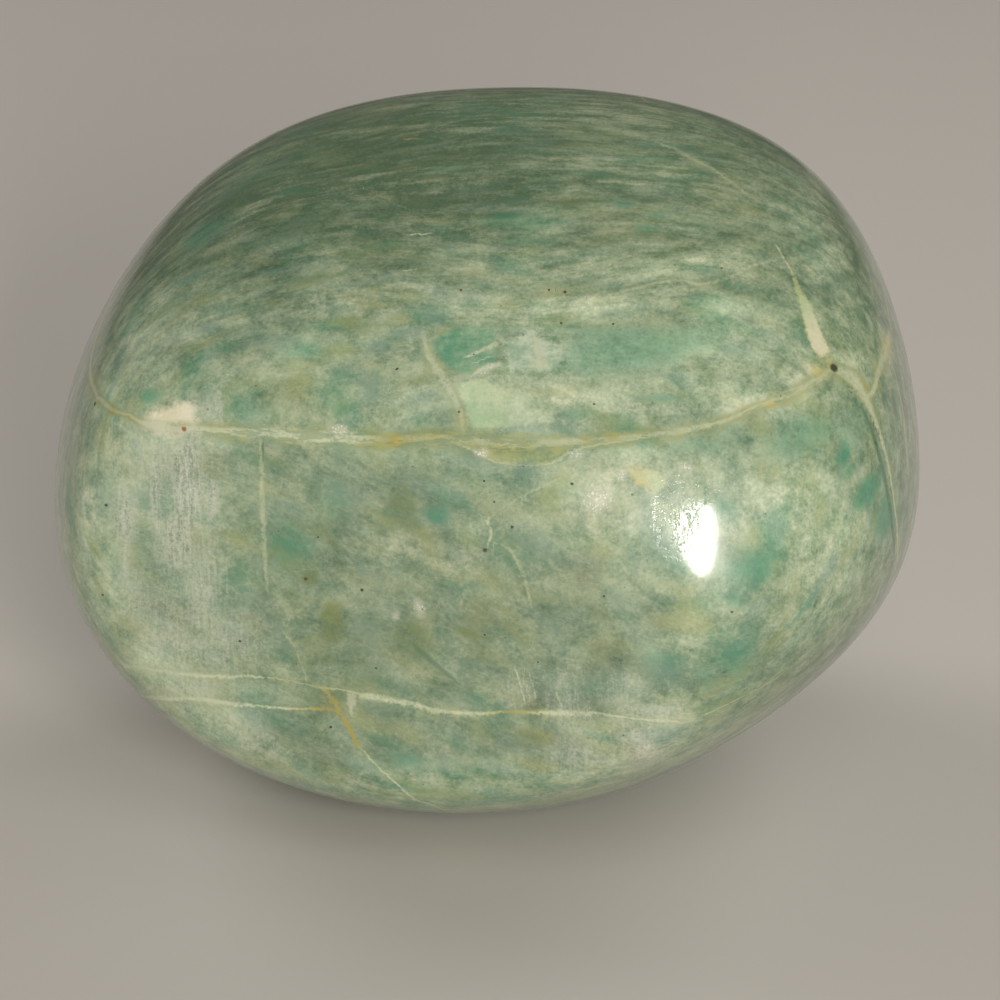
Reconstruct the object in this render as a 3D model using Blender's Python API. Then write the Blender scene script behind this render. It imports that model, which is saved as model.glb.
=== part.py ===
"""Amazonite freeform: one rounded and polished lump of green feldspar.

Metres, +Z up. The stone stands on a small flat seat, with the origin at the bottom centre of
its box. Its long side lies along X. A large flat window is polished on the front, facing -Y
and a little to the left and up. Run it with: blender --background --python part.py
"""

import math

import bmesh
import bpy
import numpy as np

# The lump before anything is ground off it: half sizes along its own axes, how far it leans
# back in degrees, and how boxy it is. A boxiness of 2 is an ellipsoid, and more fills the
# corners out.
HALF_WIDTH = 0.0475
HALF_DEPTH = 0.041
HALF_HEIGHT = 0.037
LEAN_BACK = 10
BOXINESS = 2.2

# Each ground face is (azimuth, elevation, distance from the lump's centre). Azimuth 0 faces
# the front, -Y, and grows towards +X; elevation 90 faces straight up. The broad faces round the
# lump off: the nearer a face is, the more it takes.
BROAD_FACES = {
    "lower left": (-90, -20, 0.062),
    "lower right": (60, -45, 0.0425),
    "right": (85, 15, 0.0455),
    "brow": (0, 35, 0.0305),
    "upper left": (-90, 35, 0.0445),
    "crown": (-10, 70, 0.0275),
    "back": (190, -5, 0.0345),
    "lower back": (185, -45, 0.0405),
}
WINDOW = (-13, 5, 0.029)
SEAT = (0, -90, 0.035)

# How sharply a ground face meets the rest: a higher power gives a narrower rounded edge.
BROAD_EDGE = 7
WINDOW_EDGE = 22
SEAT_EDGE = 60

# The last pass takes this much off the window and the seat, and leaves them truly flat.
# Points this close to its plane count as on it.
LAST_PASS = 0.00015
ON_PLANE = 1e-7

# The lump's centre, set so that the origin is under the middle of the stone's box. Its height
# puts the finished seat at Z 0.
CENTRE = (0.0011, -0.0005, SEAT[2] - LAST_PASS)

# The stone starts as a ball made of a cube's six sides, each cut into this many squares a side.
# That gives about 9,400 triangles, some 2.5 mm across.
SQUARES = 28

# Creases over this many degrees stay sharp in shading.
SHARP_FROM = 20

GREEN = (0.27, 0.41, 0.30, 1.0)
POLISH_ROUGHNESS = 0.14


def outward(azimuth, elevation):
    """Unit vector that leaves the centre at an azimuth and an elevation in degrees."""
    turn, rise = math.radians(azimuth), math.radians(elevation)
    return np.array((
        math.sin(turn) * math.cos(rise),
        -math.cos(turn) * math.cos(rise),
        math.sin(rise),
    ))


def nearness(directions, face):
    """How soon each direction meets a face's plane: one over the distance, 0 if it never does."""
    azimuth, elevation, distance = face
    return np.maximum(directions @ outward(azimuth, elevation), 0.0) / distance


def soonest(terms, sharpness):
    """Smooth largest of the terms: the root of the sum of their powers."""
    return sum(term**sharpness for term in terms) ** (1.0 / sharpness)


def lump_axes():
    """The lump's own right, back and up directions, as the columns of a matrix."""
    lean = math.radians(LEAN_BACK)
    right = (1.0, 0.0, 0.0)
    back = (0.0, math.cos(lean), -math.sin(lean))
    up = (0.0, math.sin(lean), math.cos(lean))
    return np.array((right, back, up)).T


def reach(directions):
    """Distance from the centre to the stone's surface along each unit direction."""
    halves = np.array((HALF_WIDTH, HALF_DEPTH, HALF_HEIGHT))
    own = np.abs(directions @ lump_axes() / halves)
    lump = np.sum(own**BOXINESS, axis=1) ** (1.0 / BOXINESS)
    broad = [nearness(directions, face) for face in BROAD_FACES.values()]
    rounded = soonest([lump, *broad], BROAD_EDGE)
    with_window = soonest([rounded, nearness(directions, WINDOW)], WINDOW_EDGE)
    return 1.0 / soonest([with_window, nearness(directions, SEAT)], SEAT_EDGE)


def grind_flat(shell, face):
    """Saws the shell off just inside a face's plane, and closes the cut with one flat polygon."""
    azimuth, elevation, distance = face
    normal = outward(azimuth, elevation)
    foot = np.array(CENTRE) + normal * (distance - LAST_PASS)
    cut = bmesh.ops.bisect_plane(
        shell,
        geom=[*shell.verts, *shell.edges, *shell.faces],
        dist=ON_PLANE,
        plane_co=foot,
        plane_no=normal,
        clear_outer=True,
    )
    rim = [item for item in cut["geom_cut"] if isinstance(item, bmesh.types.BMEdge)]
    bmesh.ops.contextual_create(shell, geom=rim)


def stone_mesh():
    """The closed stone: a cube's squares drawn out to the surface, then ground flat."""
    shell = bmesh.new()
    bmesh.ops.create_cube(shell, size=2.0)
    bmesh.ops.subdivide_edges(shell, edges=shell.edges, cuts=SQUARES - 1, use_grid_fill=True)
    # Equal steps along a side become equal angles, so the squares stay even on the ball.
    sides = np.tan(np.array([vert.co for vert in shell.verts]) * math.pi / 4)
    directions = sides / np.linalg.norm(sides, axis=1, keepdims=True)
    points = np.array(CENTRE) + directions * reach(directions)[:, None]
    for vert, point in zip(shell.verts, points):
        vert.co = point
    grind_flat(shell, WINDOW)
    grind_flat(shell, SEAT)
    bmesh.ops.recalc_face_normals(shell, faces=shell.faces)
    mesh = bpy.data.meshes.new("stone")
    shell.to_mesh(mesh)
    shell.free()
    mesh.shade_smooth()
    mesh.set_sharp_from_angle(angle=math.radians(SHARP_FROM))
    return mesh


def polished_stone():
    """Polished green feldspar."""
    material = bpy.data.materials.new("polished_stone")
    material.use_nodes = True
    shader = material.node_tree.nodes["Principled BSDF"]
    shader.inputs["Base Color"].default_value = GREEN
    shader.inputs["Roughness"].default_value = POLISH_ROUGHNESS
    shader.inputs["Metallic"].default_value = 0.0
    return material


def main():
    for old in list(bpy.data.objects):
        bpy.data.objects.remove(old)
    stone = bpy.data.objects.new("stone", stone_mesh())
    stone.data.materials.append(polished_stone())
    bpy.context.scene.collection.objects.link(stone)


main()
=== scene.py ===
# %% [markdown]
# # A polished lump of green feldspar
#
# The real thing is one piece of amazonite, ground round on a wheel and polished. It has one large
# flat window on the front and stands on a small flat seat. Its whole charm is on the surface:
# silky layers, pale healed cracks, ochre stains and blue-green patches.
#
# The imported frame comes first, because everything else sits on it.

import math

import bpy
import numpy as np
from mathutils import Matrix


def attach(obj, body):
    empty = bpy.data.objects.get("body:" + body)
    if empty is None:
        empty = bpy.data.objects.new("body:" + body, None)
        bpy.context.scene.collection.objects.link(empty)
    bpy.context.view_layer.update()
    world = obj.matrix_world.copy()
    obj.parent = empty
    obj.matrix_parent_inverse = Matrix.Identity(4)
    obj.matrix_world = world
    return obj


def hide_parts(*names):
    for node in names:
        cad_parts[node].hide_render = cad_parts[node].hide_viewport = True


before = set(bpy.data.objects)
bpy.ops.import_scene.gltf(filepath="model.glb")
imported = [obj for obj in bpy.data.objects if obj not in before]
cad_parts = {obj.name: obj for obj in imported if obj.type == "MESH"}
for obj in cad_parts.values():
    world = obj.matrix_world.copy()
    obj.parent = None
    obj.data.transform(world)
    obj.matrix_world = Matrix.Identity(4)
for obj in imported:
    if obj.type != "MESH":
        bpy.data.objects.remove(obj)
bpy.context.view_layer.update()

# %% [markdown]
# ## The shape
#
# A freeform could be sculpted, or remeshed from the CAD solid. But the solid is a formula: the
# distance from the centre to the surface in each direction. So the same formula is worked out
# again here on a far finer grid, which keeps the two models equal and the polish smooth.

# %% The numbers of the shape, in metres and degrees
HALF_SIZES = (0.0475, 0.041, 0.037)
LEAN_BACK = 10
# 2 would be a true egg, and more is boxier.
BOXINESS = 2.2
# Azimuth (0 faces the front, -Y, and grows towards +X), elevation, distance from the centre.
BROAD_FACES = {
    "lower left": (-90, -20, 0.062),
    "lower right": (60, -45, 0.0425),
    "right": (85, 15, 0.0455),
    "brow": (0, 35, 0.0305),
    "upper left": (-90, 35, 0.0445),
    "crown": (-10, 70, 0.0275),
    "back": (190, -5, 0.0345),
    "lower back": (185, -45, 0.0405),
}
WINDOW = (-13, 5, 0.029)
SEAT = (0, -90, 0.035)
# How tightly each kind of face meets the rest: the higher, the crisper its edge.
BROAD_EDGE = 7
WINDOW_EDGE = 22
SEAT_EDGE = 60
# The two flats are ground this much deeper at the end, which makes them truly flat.
LAST_PASS = 0.00015
CENTRE = np.array((0.0011, -0.0005, SEAT[2] - LAST_PASS))


# %% How far the surface is in each direction
def outward(azimuth, elevation):
    """Unit vector at an azimuth and an elevation: sines and cosines of the two angles."""
    turn, rise = math.radians(azimuth), math.radians(elevation)
    return np.array((
        math.sin(turn) * math.cos(rise),
        -math.cos(turn) * math.cos(rise),
        math.sin(rise),
    ))


def nearness(directions, face):
    """One over the distance to a face's plane along each direction, 0 if it never meets it."""
    return np.maximum(directions @ outward(*face[:2]), 0.0) / face[2]


def soonest(terms, sharpness):
    """Smooth largest of the terms: the root of the sum of their powers."""
    return sum(term**sharpness for term in terms) ** (1.0 / sharpness)


def reach(directions):
    """Distance to the surface: a boxy egg, eased by the broad faces, then cut by window and seat.

    The egg is the sum of powers of the direction's three parts over its half sizes. The two
    flats are cut hard, a last pass inside their planes."""
    lean = math.radians(LEAN_BACK)
    axes = np.array((
        (1, 0, 0),
        (0, math.cos(lean), -math.sin(lean)),
        (0, math.sin(lean), math.cos(lean)),
    )).T
    own = np.abs(directions @ axes / np.array(HALF_SIZES))
    lump = np.sum(own**BOXINESS, axis=1) ** (1.0 / BOXINESS)
    rounded = soonest(
        [lump, *(nearness(directions, face) for face in BROAD_FACES.values())], BROAD_EDGE
    )
    nearest = soonest([rounded, nearness(directions, WINDOW)], WINDOW_EDGE)
    nearest = soonest([nearest, nearness(directions, SEAT)], SEAT_EDGE)
    for azimuth, elevation, distance in (WINDOW, SEAT):
        flat = nearness(directions, (azimuth, elevation, distance - LAST_PASS))
        nearest = np.maximum(nearest, flat)
    return 1.0 / nearest


def drop_on(points):
    """Moves points straight in or out from the centre until they lie on the surface."""
    away = points - CENTRE
    directions = away / np.linalg.norm(away, axis=1, keepdims=True)
    return CENTRE + directions * reach(directions)[:, None]


def ratio_at(points):
    """Distance from the centre over the reach that way: under 1 inside the stone."""
    away = points - CENTRE
    length = np.linalg.norm(away, axis=1)
    return length / reach(away / length[:, None])


NORMAL_STEP = 0.00005


def facing(points):
    """Outward normals: how fast that ratio grows over small steps along X, Y and Z."""
    nudges = np.eye(3) * NORMAL_STEP
    slope = [ratio_at(points + nudge) - ratio_at(points - nudge) for nudge in nudges]
    slope = np.stack(slope, axis=1)
    return slope / np.linalg.norm(slope, axis=1, keepdims=True)


print("half way up the front, the surface is at", drop_on(CENTRE + [[0.0, -1.0, 0.0]]))

# %% [markdown]
# ## A fine, even grid
#
# A ball of latitude rings would pinch at its poles and show there in the polish. A cube blown up
# into a ball has no poles, and equal steps of angle keep its squares even. Its six sides share
# their edge points, so the skin is closed. The grid leans to the front, where the most is seen.

# %% The cube's six sides, joined, and their squares
SQUARES = 127
FRONT_LEAN = 0.3


def cube_ball(squares, lean):
    """Directions and quads: tangents of even angles on a cube's sides, leaned to the front.

    Each side is a grid of whole numbers with one of the three held at its end, so that equal
    points of two sides can be joined. The far sides' squares run one way round and the near
    sides' the other, and all of them face out."""
    steps = np.arange(squares + 1)
    first, second = (grid.ravel() for grid in np.meshgrid(steps, steps, indexing="ij"))
    lattice, quads = [], []
    corner = (np.arange(squares)[:, None] * (squares + 1) + np.arange(squares)).ravel()
    around = np.stack([corner, corner + squares + 1, corner + squares + 2, corner + 1], axis=1)
    for axis in range(3):
        for end in (0, squares):
            side = np.empty((first.size, 3), int)
            side[:, axis] = end
            side[:, (axis + 1) % 3] = first
            side[:, (axis + 2) % 3] = second
            quads.append((around if end else around[:, ::-1]) + len(lattice) * first.size)
            lattice.append(side)
    points, place = np.unique(np.concatenate(lattice), axis=0, return_inverse=True)
    cube = np.tan((points / squares * 2 - 1) * math.pi / 4)
    ball = cube / np.linalg.norm(cube, axis=1, keepdims=True)
    ball = ball + lean * outward(0, 0)
    ball = ball / np.linalg.norm(ball, axis=1, keepdims=True)
    return ball, place.ravel()[np.concatenate(quads)]


directions, quads = cube_ball(SQUARES, FRONT_LEAN)
skin = CENTRE + directions * reach(directions)[:, None]
skin_normals = facing(skin)
print(len(skin), "points and", 2 * len(quads), "triangles")

# %% [markdown]
# ## Where the camera stands
#
# The markings are placed by pixels of a 1000 x 1000 picture. So the camera comes before them: a
# long lens, 25 degrees up, about 45 cm away. A pixel's ray is followed to the surface, so that a
# marking lies on the stone whatever side it is seen from.

# %% The camera's place, in metres and degrees
CAMERA_RISE = 25
CAMERA_DISTANCE = 0.45
METRES_PER_PIXEL = 0.000102
PICTURE = 1000
SENSOR_MM = 36
CLOSEST = 0.01
SIDE = np.array((1.0, 0.0, 0.0))
ABOVE = -outward(0, CAMERA_RISE - 90)
TO_CAMERA = outward(0, CAMERA_RISE)
# The point in the middle of the picture, a few millimetres below the stone's centre.
AIM_SHIFT = np.array((-0.0015, 0.0, -0.001))
AIM_RIGHT, AIM_DOWN = 0.00153, 0.0051
AIM = CENTRE + AIM_SHIFT + AIM_RIGHT * SIDE - AIM_DOWN * ABOVE
EYE = AIM + CAMERA_DISTANCE * TO_CAMERA
LENS_PIXELS = CAMERA_DISTANCE / METRES_PER_PIXEL

lens = bpy.data.cameras.new("camera")
lens.sensor_width = SENSOR_MM
lens.lens = SENSOR_MM * LENS_PIXELS / PICTURE
lens.clip_start = CLOSEST
camera = bpy.data.objects.new("camera", lens)
camera.location = EYE
camera.rotation_euler = (math.radians(90 - CAMERA_RISE), 0.0, 0.0)
bpy.context.scene.collection.objects.link(camera)
bpy.context.scene.camera = camera
print("lens", round(lens.lens, 1), "mm")

# %% The ray of a pixel
RAY_START, RAY_END, RAY_COUNT = 0.38, 0.52, 71
RAY_STEPS = np.linspace(RAY_START, RAY_END, RAY_COUNT)
HALVINGS = 30


def on_stone(pixels):
    """Where pixels' rays meet the surface, halving the step each time; a miss takes its nearest.

    A ray leaves the eye towards the camera's front, plus the pixel's share of right and down.
    The search runs between its start and its deepest step."""
    pixels = np.asarray(pixels, float)
    across = (pixels[:, 0] - PICTURE / 2) / LENS_PIXELS
    down = (pixels[:, 1] - PICTURE / 2) / LENS_PIXELS
    ray = across[:, None] * SIDE - down[:, None] * ABOVE - TO_CAMERA
    ray /= np.linalg.norm(ray, axis=1, keepdims=True)
    depth = np.stack([ratio_at(EYE + ray * length) for length in RAY_STEPS])
    deepest = RAY_STEPS[depth.argmin(axis=0)]
    outer, inner = np.full(len(ray), RAY_START), deepest.copy()
    for _ in range(HALVINGS):
        middle = (outer + inner) / 2
        inside = ratio_at(EYE + ray * middle[:, None]) < 1
        inner, outer = np.where(inside, middle, inner), np.where(inside, outer, middle)
    return drop_on(EYE + ray * inner[:, None])


print("the middle pixel lands at", on_stone([(PICTURE / 2, PICTURE / 2)]))

# %% [markdown]
# ## Healed cracks
#
# The pale lines are cracks that filled with quartz and clay while the feldspar was still in the
# ground. A line could be a thin raised strip, but the polish runs flat over them: they are only
# colour. So each point of the skin is told how far it lies to the side of the nearest line, and
# how far along it, in millimetres. The finish later draws the line from these two numbers, as
# fine and ragged as it likes. A point remembers only the nearest line of a set, so lines that
# touch are kept in different sets.

# %% A line's path on the stone, and every point's place beside it
MM = 1000.0
PATH_STEP = 0.0004
FAR_OFF = 5.0


def curve_through(points, step=PATH_STEP):
    """Smooth curve through points (Catmull-Rom: cubic, its slope the chord of the neighbours)."""
    ends = np.concatenate([points[:1] * 2 - points[1:2], points, points[-1:] * 2 - points[-2:-1]])
    before, start, stop, after = ends[:-3], ends[1:-2], ends[2:-1], ends[3:]
    length = np.linalg.norm((stop - start)[:, :3], axis=1)
    pieces = []
    for a, b, c, d, count in zip(before, start, stop, after, np.ceil(length / step).astype(int)):
        t = np.linspace(0, 1, max(count, 2), endpoint=False)[:, None]
        pieces.append(
            b + t * (c - a) / 2 + t**2 * (a - 2.5 * b + 2 * c - d / 2)
            + t**3 * (1.5 * (b - c) + (d - a) / 2)
        )
    return np.concatenate([*pieces, points[-1:]])


def path_of(stops, closed=False):
    """Stops (x, y, ...) in pixels, and after them ("round", azimuth, elevation, ...), as a curve.

    The first three numbers of each row that comes back are the place, and the rest are the
    stop's own values, smoothed like the place."""
    pixels = [stop for stop in stops if stop[0] != "round"]
    turned = [stop[1:] for stop in stops if stop[0] == "round"]
    rows = []
    if pixels:
        seen = on_stone([stop[:2] for stop in pixels])
        rows.append(np.hstack([seen, np.array([stop[2:] for stop in pixels])]))
    if turned:
        hidden = drop_on(CENTRE + np.array([outward(*stop[:2]) for stop in turned]))
        rows.append(np.hstack([hidden, np.array([stop[2:] for stop in turned])]))
    rows = np.concatenate(rows)
    if closed:
        rows = np.concatenate([rows, rows[:1]])
    curve = curve_through(rows)
    curve[:, :3] = drop_on(curve[:, :3])
    return curve


def beside(curve):
    """For every skin point: mm to the curve's side, mm along it, the nearest row, mm to that row.

    The nearest row is the one with the smallest squared distance. Across and along are the dot
    products of the gap with the curve's side and its direction there."""
    place = curve[:, :3]
    squared = (skin**2).sum(axis=1)[:, None] + (place**2).sum(axis=1) - 2 * skin @ place.T
    nearest = squared.argmin(axis=1)
    run = np.gradient(place, axis=0)
    run /= np.linalg.norm(run, axis=1, keepdims=True)
    sideways = np.cross(facing(place), run)
    gap = skin - place[nearest]
    steps = np.linalg.norm(np.diff(place, axis=0), axis=1)
    travelled = np.concatenate([[0.0], np.cumsum(steps)])[nearest]
    across = (gap * sideways[nearest]).sum(axis=1)
    along = travelled + (gap * run[nearest]).sum(axis=1)
    return across * MM, along * MM, nearest, np.linalg.norm(gap, axis=1) * MM


# %% The lines: stops are pixel x, pixel y, half width in mm, ochre (0 white to 1), braiding
# "round" stops are azimuth and elevation, and carry a line on over the sides that are not seen.
# Ochre well under 0 makes a dark line.
LINE_SETS = {
    "a": {
        "main crack": [
            (90, 368, 0.45, 0.35, 0.2), (97, 395, 0.5, 0.35, 0.3), (112, 409, 0.4, 0.5, 0.3),
            (130, 416, 0.3, 0.5, 0.2), (150, 425, 0.5, 0.15, 0.4), (183, 429, 0.6, 0.2, 0.5),
            (213, 430, 0.6, 0.3, 0.9), (255, 433, 0.75, 0.25, 1.1), (299, 436, 0.8, 0.15, 1.1),
            (345, 438, 0.8, 0.2, 1.1), (390, 440, 0.7, 0.8, 0.9), (430, 439, 0.8, 0.75, 1.0),
            (470, 441, 0.8, 0.72, 1.1), (510, 444, 0.9, 0.7, 1.1), (545, 443, 0.8, 0.65, 1.0),
            (585, 441, 0.6, 0.5, 0.9), (620, 438, 0.6, 0.6, 0.9), (650, 435, 0.4, 0.5, 0.8),
            (672, 432, 0.2, 0.45, 0.8),
        ],
        "right end of the crack": [
            (655, 435, 0.4, 0.45, 0.6), (680, 431, 0.6, 0.45, 0.6), (705, 426, 0.5, 0.4, 0.6),
            (735, 416, 0.4, 0.4, 0.8), (758, 406, 0.45, 0.5, 0.9), (780, 398, 0.6, 0.5, 0.9),
            (806, 386, 0.6, 0.5, 0.9), (833, 370, 0.7, 0.5, 0.6),
        ],
        "lower crack": [
            (359, 695, 0.28, 0.05, 0.2), (375, 697, 0.36, 0.05, 0.1), (396, 701, 0.3, 0.05, 0.1),
            (417, 705, 0.26, 0.05, 0.1), (431, 710, 0.28, 0.1, 0.1), (453, 712, 0.3, 0.2, 0.2),
            (476, 714, 0.3, 0.2, 0.3), (506, 712, 0.16, 0.8, 0.2), (522, 712, 0.16, 0.7, 0.2),
            (559, 713, 0.34, 0.05, 0.2), (590, 714, 0.3, 0.1, 0.2), (615, 716, 0.14, 0.2, 0.2),
            (640, 719, 0.14, 0.2, 0.4), (665, 721, 0.28, 0.1, 0.5), (690, 721, 0.28, 0.1, 0.5),
        ],
        "back branch": [
            ("round", 150, 27, 0.3, 0.3, 0.3), ("round", 158, 10, 0.35, 0.2, 0.3),
            ("round", 150, -8, 0.3, 0.4, 0.3), ("round", 160, -24, 0.3, 0.3, 0.3),
            ("round", 170, -38, 0.2, 0.3, 0.3),
        ],
        "back thread": [
            ("round", -120, 22, 0.2, 0.3, 0.2), ("round", -124, 5, 0.25, 0.4, 0.2),
            ("round", -112, -14, 0.2, 0.3, 0.2), ("round", -118, -30, 0.15, 0.3, 0.2),
        ],
        "thread near the top": [
            (655, 142, 0.2, 0.2, 0.2), (675, 149, 0.3, 0.2, 0.2), (689, 157, 0.4, 0.2, 0.2),
            (706, 165, 0.35, 0.2, 0.2), (722, 175, 0.3, 0.2, 0.2), (734, 184, 0.35, 0.3, 0.2),
            (747, 194, 0.35, 0.3, 0.2), (759, 202, 0.2, 0.3, 0.2),
        ],
    },
    "b": {
        "rising branch": [
            (424, 335, 0.3, 0.3, 0.1), (428, 352, 0.5, 0.25, 0.2), (436, 368, 0.7, 0.15, 0.3),
            (446, 384, 0.65, 0.2, 0.3), (455, 400, 0.5, 0.35, 0.3), (461, 416, 0.5, 0.5, 0.3),
            (464, 432, 0.35, 0.7, 0.3),
        ],
        "ochre slant": [
            (316, 684, 0.2, 0.75, 0.1), (324, 690, 0.3, 0.8, 0.2), (332, 699, 0.4, 0.85, 0.2),
            (341, 714, 0.35, 0.85, 0.2), (350, 729, 0.28, 0.85, 0.2), (358, 745, 0.25, 0.85, 0.2),
            (367, 755, 0.16, 0.3, 0.0), (380, 769, 0.18, 0.15, 0.0), (396, 783, 0.18, 0.15, 0.0),
            (408, 794, 0.25, 0.15, 0.1), (420, 802, 0.3, 0.15, 0.1), (437, 807, 0.25, 0.2, 0.1),
            ("round", -8, -56, 0.2, 0.2, 0.1), ("round", 4, -66, 0.15, 0.2, 0.1),
        ],
        "right chain": [
            (828, 369, 0.6, 0.6, 0.2), (838, 371, 0.9, 0.6, 0.2), (848, 376, 1.3, 0.5, 0.2),
            (858, 384, 1.4, 0.35, 0.3), (866, 398, 1.1, 0.35, 0.3), (872, 412, 0.75, 0.35, 0.2),
            (879, 431, 0.5, 0.3, 0.1), (885, 452, 0.42, 0.3, 0.1), (890, 474, 0.38, 0.3, 0.1),
            (894, 500, 0.3, 0.3, 0.1), (897, 528, 0.3, 0.2, 0.1), (898, 552, 0.25, 0.2, 0.1),
            (895, 572, 0.2, 0.3, 0.0), ("round", 76, -22, 0.3, 0.4, 0.1),
            ("round", 88, -36, 0.25, 0.4, 0.1),
        ],
        "low crack behind": [
            (176, 699, 0.3, 0.15, 0.3), (150, 697, 0.3, 0.2, 0.3),
            ("round", -72, -29, 0.3, 0.2, 0.3), ("round", -90, -33, 0.3, 0.2, 0.3),
            ("round", -112, -36, 0.25, 0.3, 0.3), ("round", -135, -34, 0.25, 0.3, 0.3),
            ("round", -158, -38, 0.2, 0.3, 0.3),
        ],
        "top thread behind": [
            ("round", 138, 54, 0.2, 0.3, 0.2), ("round", 150, 48, 0.25, 0.35, 0.2),
            ("round", 168, 44, 0.2, 0.3, 0.2),
        ],
        "upright crack": [
            (261, 442, 0.3, 0.35, 0.0), (262, 477, 0.4, 0.3, 0.0), (263, 512, 0.4, 0.2, 0.0),
            (264, 542, 0.35, 0.2, 0.2), (267, 590, 0.2, 0.2, 0.3),
        ],
        "upper thread": [
            (591, 301, 0.15, 0.2, 0.0), (605, 297, 0.2, 0.2, 0.0), (622, 291, 0.25, 0.15, 0.0),
            (645, 286, 0.25, 0.1, 0.0), (669, 281, 0.25, 0.1, 0.0), (684, 281, 0.2, 0.2, 0.0),
            (700, 284, 0.25, 0.2, 0.1), (724, 280, 0.3, 0.2, 0.2), (740, 272, 0.3, 0.2, 0.2),
            (756, 265, 0.3, 0.2, 0.2), (776, 260, 0.2, 0.2, 0.2),
        ],
    },
    "c": {
        "low strand": [
            (150, 697, 0.2, 0.2, 0.3), (176, 699, 0.3, 0.15, 0.3), (201, 699, 0.35, 0.1, 0.3),
            (224, 703, 0.35, 0.1, 0.3), (247, 705, 0.28, 0.1, 0.2), (265, 707, 0.2, 0.1, 0.1),
            (281, 708, 0.2, 0.15, 0.1), (303, 709, 0.18, 0.6, 0.1), (316, 709, 0.25, 0.85, 0.1),
            (330, 710, 0.25, 0.9, 0.1),
        ],
        "right fork": [
            (868, 396, 0.5, 0.3, 0.2), (874, 389, 0.6, 0.35, 0.2), (878, 374, 0.8, 0.35, 0.2),
            (882, 360, 0.9, 0.35, 0.2), (887, 347, 1.2, 0.15, 0.2), (889, 334, 0.5, 0.3, 0.2),
        ],
        "rim vein": [
            (889, 352, 0.4, 0.4, 0.2), (896, 378, 0.5, 0.4, 0.2), (903, 412, 0.6, 0.4, 0.2),
            (906, 442, 0.8, 0.3, 0.2), (909, 482, 0.4, 0.4, 0.2),
        ],
        "belly thread": [
            (700, 717, 0.2, 0.3, 0.2), (717, 709, 0.18, 0.3, 0.2), (740, 698, 0.15, 0.3, 0.1),
            (765, 685, 0.14, 0.35, 0.0), (790, 668, 0.14, 0.35, 0.0), (821, 641, 0.13, 0.4, 0.0),
            (850, 612, 0.12, 0.4, 0.0), ("round", 70, -2, 0.15, 0.4, 0.1),
            ("round", 92, 4, 0.2, 0.3, 0.1), ("round", 115, 2, 0.2, 0.3, 0.1),
            ("round", 140, 6, 0.15, 0.3, 0.1),
        ],
        "pink line": [
            (493, 516, 0.12, 0.1, 0), (488, 521, 0.22, 0.1, 0), (491, 533, 0.24, 0.1, 0),
            (489, 541, 0.2, 0.2, 0), (486, 548, 0.12, 0.2, 0),
        ],
        "faint rise": [
            (497, 512, 0.12, 0.2, 0), (515, 500, 0.16, 0.2, 0), (540, 487, 0.16, 0.2, 0),
            (560, 478, 0.12, 0.2, 0),
        ],
        "faint fall": [
            (502, 545, 0.14, 0.2, 0), (513, 553, 0.3, 0.2, 0), (524, 578, 0.35, 0.3, 0),
            (532, 607, 0.2, 0.3, 0),
        ],
        "faint left": [
            (281, 629, 0.12, 0.4, 0), (295, 648, 0.16, 0.4, 0), (302, 666, 0.16, 0.4, 0),
            (307, 682, 0.12, 0.4, 0),
        ],
        "scratch": [(515, 668, 0.1, 0, 0), (520, 684, 0.14, 0, 0), (525, 703, 0.1, 0, 0)],
        "scratch beside it": [(529, 672, 0.1, 0, 0), (532, 684, 0.13, 0, 0), (536, 698, 0.1, 0, 0)],
        "short scratch": [(556, 690, 0.1, 0, 0), (559, 700, 0.13, 0, 0), (563, 710, 0.1, 0, 0)],
        "short dark line": [
            (569, 452, 0.12, -1, 0), (573, 450, 0.14, -1, 0), (579, 447, 0.12, -1, 0),
        ],
        "dark line": [(263, 441, 0.12, -1, 0), (263, 450, 0.15, -1, 0), (263, 462, 0.1, -1, 0)],
        "left spike": [(141, 436, 0.3, 0.1, 0), (143, 446, 0.2, 0.1, 0), (144, 460, 0.1, 0.1, 0)],
        "second strand": [
            (458, 444, 0.2, 0.6, 0.2), (470, 449, 0.22, 0.35, 0.3), (483, 456, 0.2, 0.3, 0.4),
            (498, 462, 0.14, 0.45, 0.3), (520, 465, 0.1, 0.5, 0.2), (545, 464, 0.14, 0.45, 0.3),
            (560, 459, 0.26, 0.3, 0.3), (575, 450, 0.22, 0.4, 0.3), (595, 445, 0.2, 0.4, 0.2),
            (620, 441, 0.2, 0.4, 0.2), (650, 438, 0.14, 0.45, 0.2),
        ],
    },
    "d": {
        "high strand": [
            (141, 667, 0.22, 0.25, 0.3), (160, 671, 0.35, 0.2, 0.3), (196, 675, 0.35, 0.2, 0.4),
            (229, 677, 0.25, 0.2, 0.3), (247, 676, 0.22, 0.25, 0.2), (280, 679, 0.14, 0.55, 0.2),
            (300, 683, 0.14, 0.65, 0.2), (318, 687, 0.18, 0.7, 0.2), (342, 690, 0.14, 0.4, 0.1),
            (360, 694, 0.16, 0.3, 0.1),
        ],
        "rim thread": [
            (818, 213, 0.16, 0.35, 0.2), (840, 226, 0.2, 0.35, 0.2), (861, 251, 0.22, 0.3, 0.2),
            (869, 273, 0.2, 0.35, 0.2), (873, 296, 0.16, 0.35, 0.2),
        ],
        "crack behind": [
            (97, 395, 0.4, 0.35, 0.3), (90, 368, 0.45, 0.35, 0.2),
            ("round", -90, 18, 0.45, 0.35, 0.3), ("round", -105, 22, 0.5, 0.3, 0.5),
            ("round", -128, 25, 0.5, 0.4, 0.5), ("round", -148, 24, 0.55, 0.3, 0.6),
            ("round", -166, 28, 0.5, 0.3, 0.6), ("round", 177, 27, 0.5, 0.5, 0.6),
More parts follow.
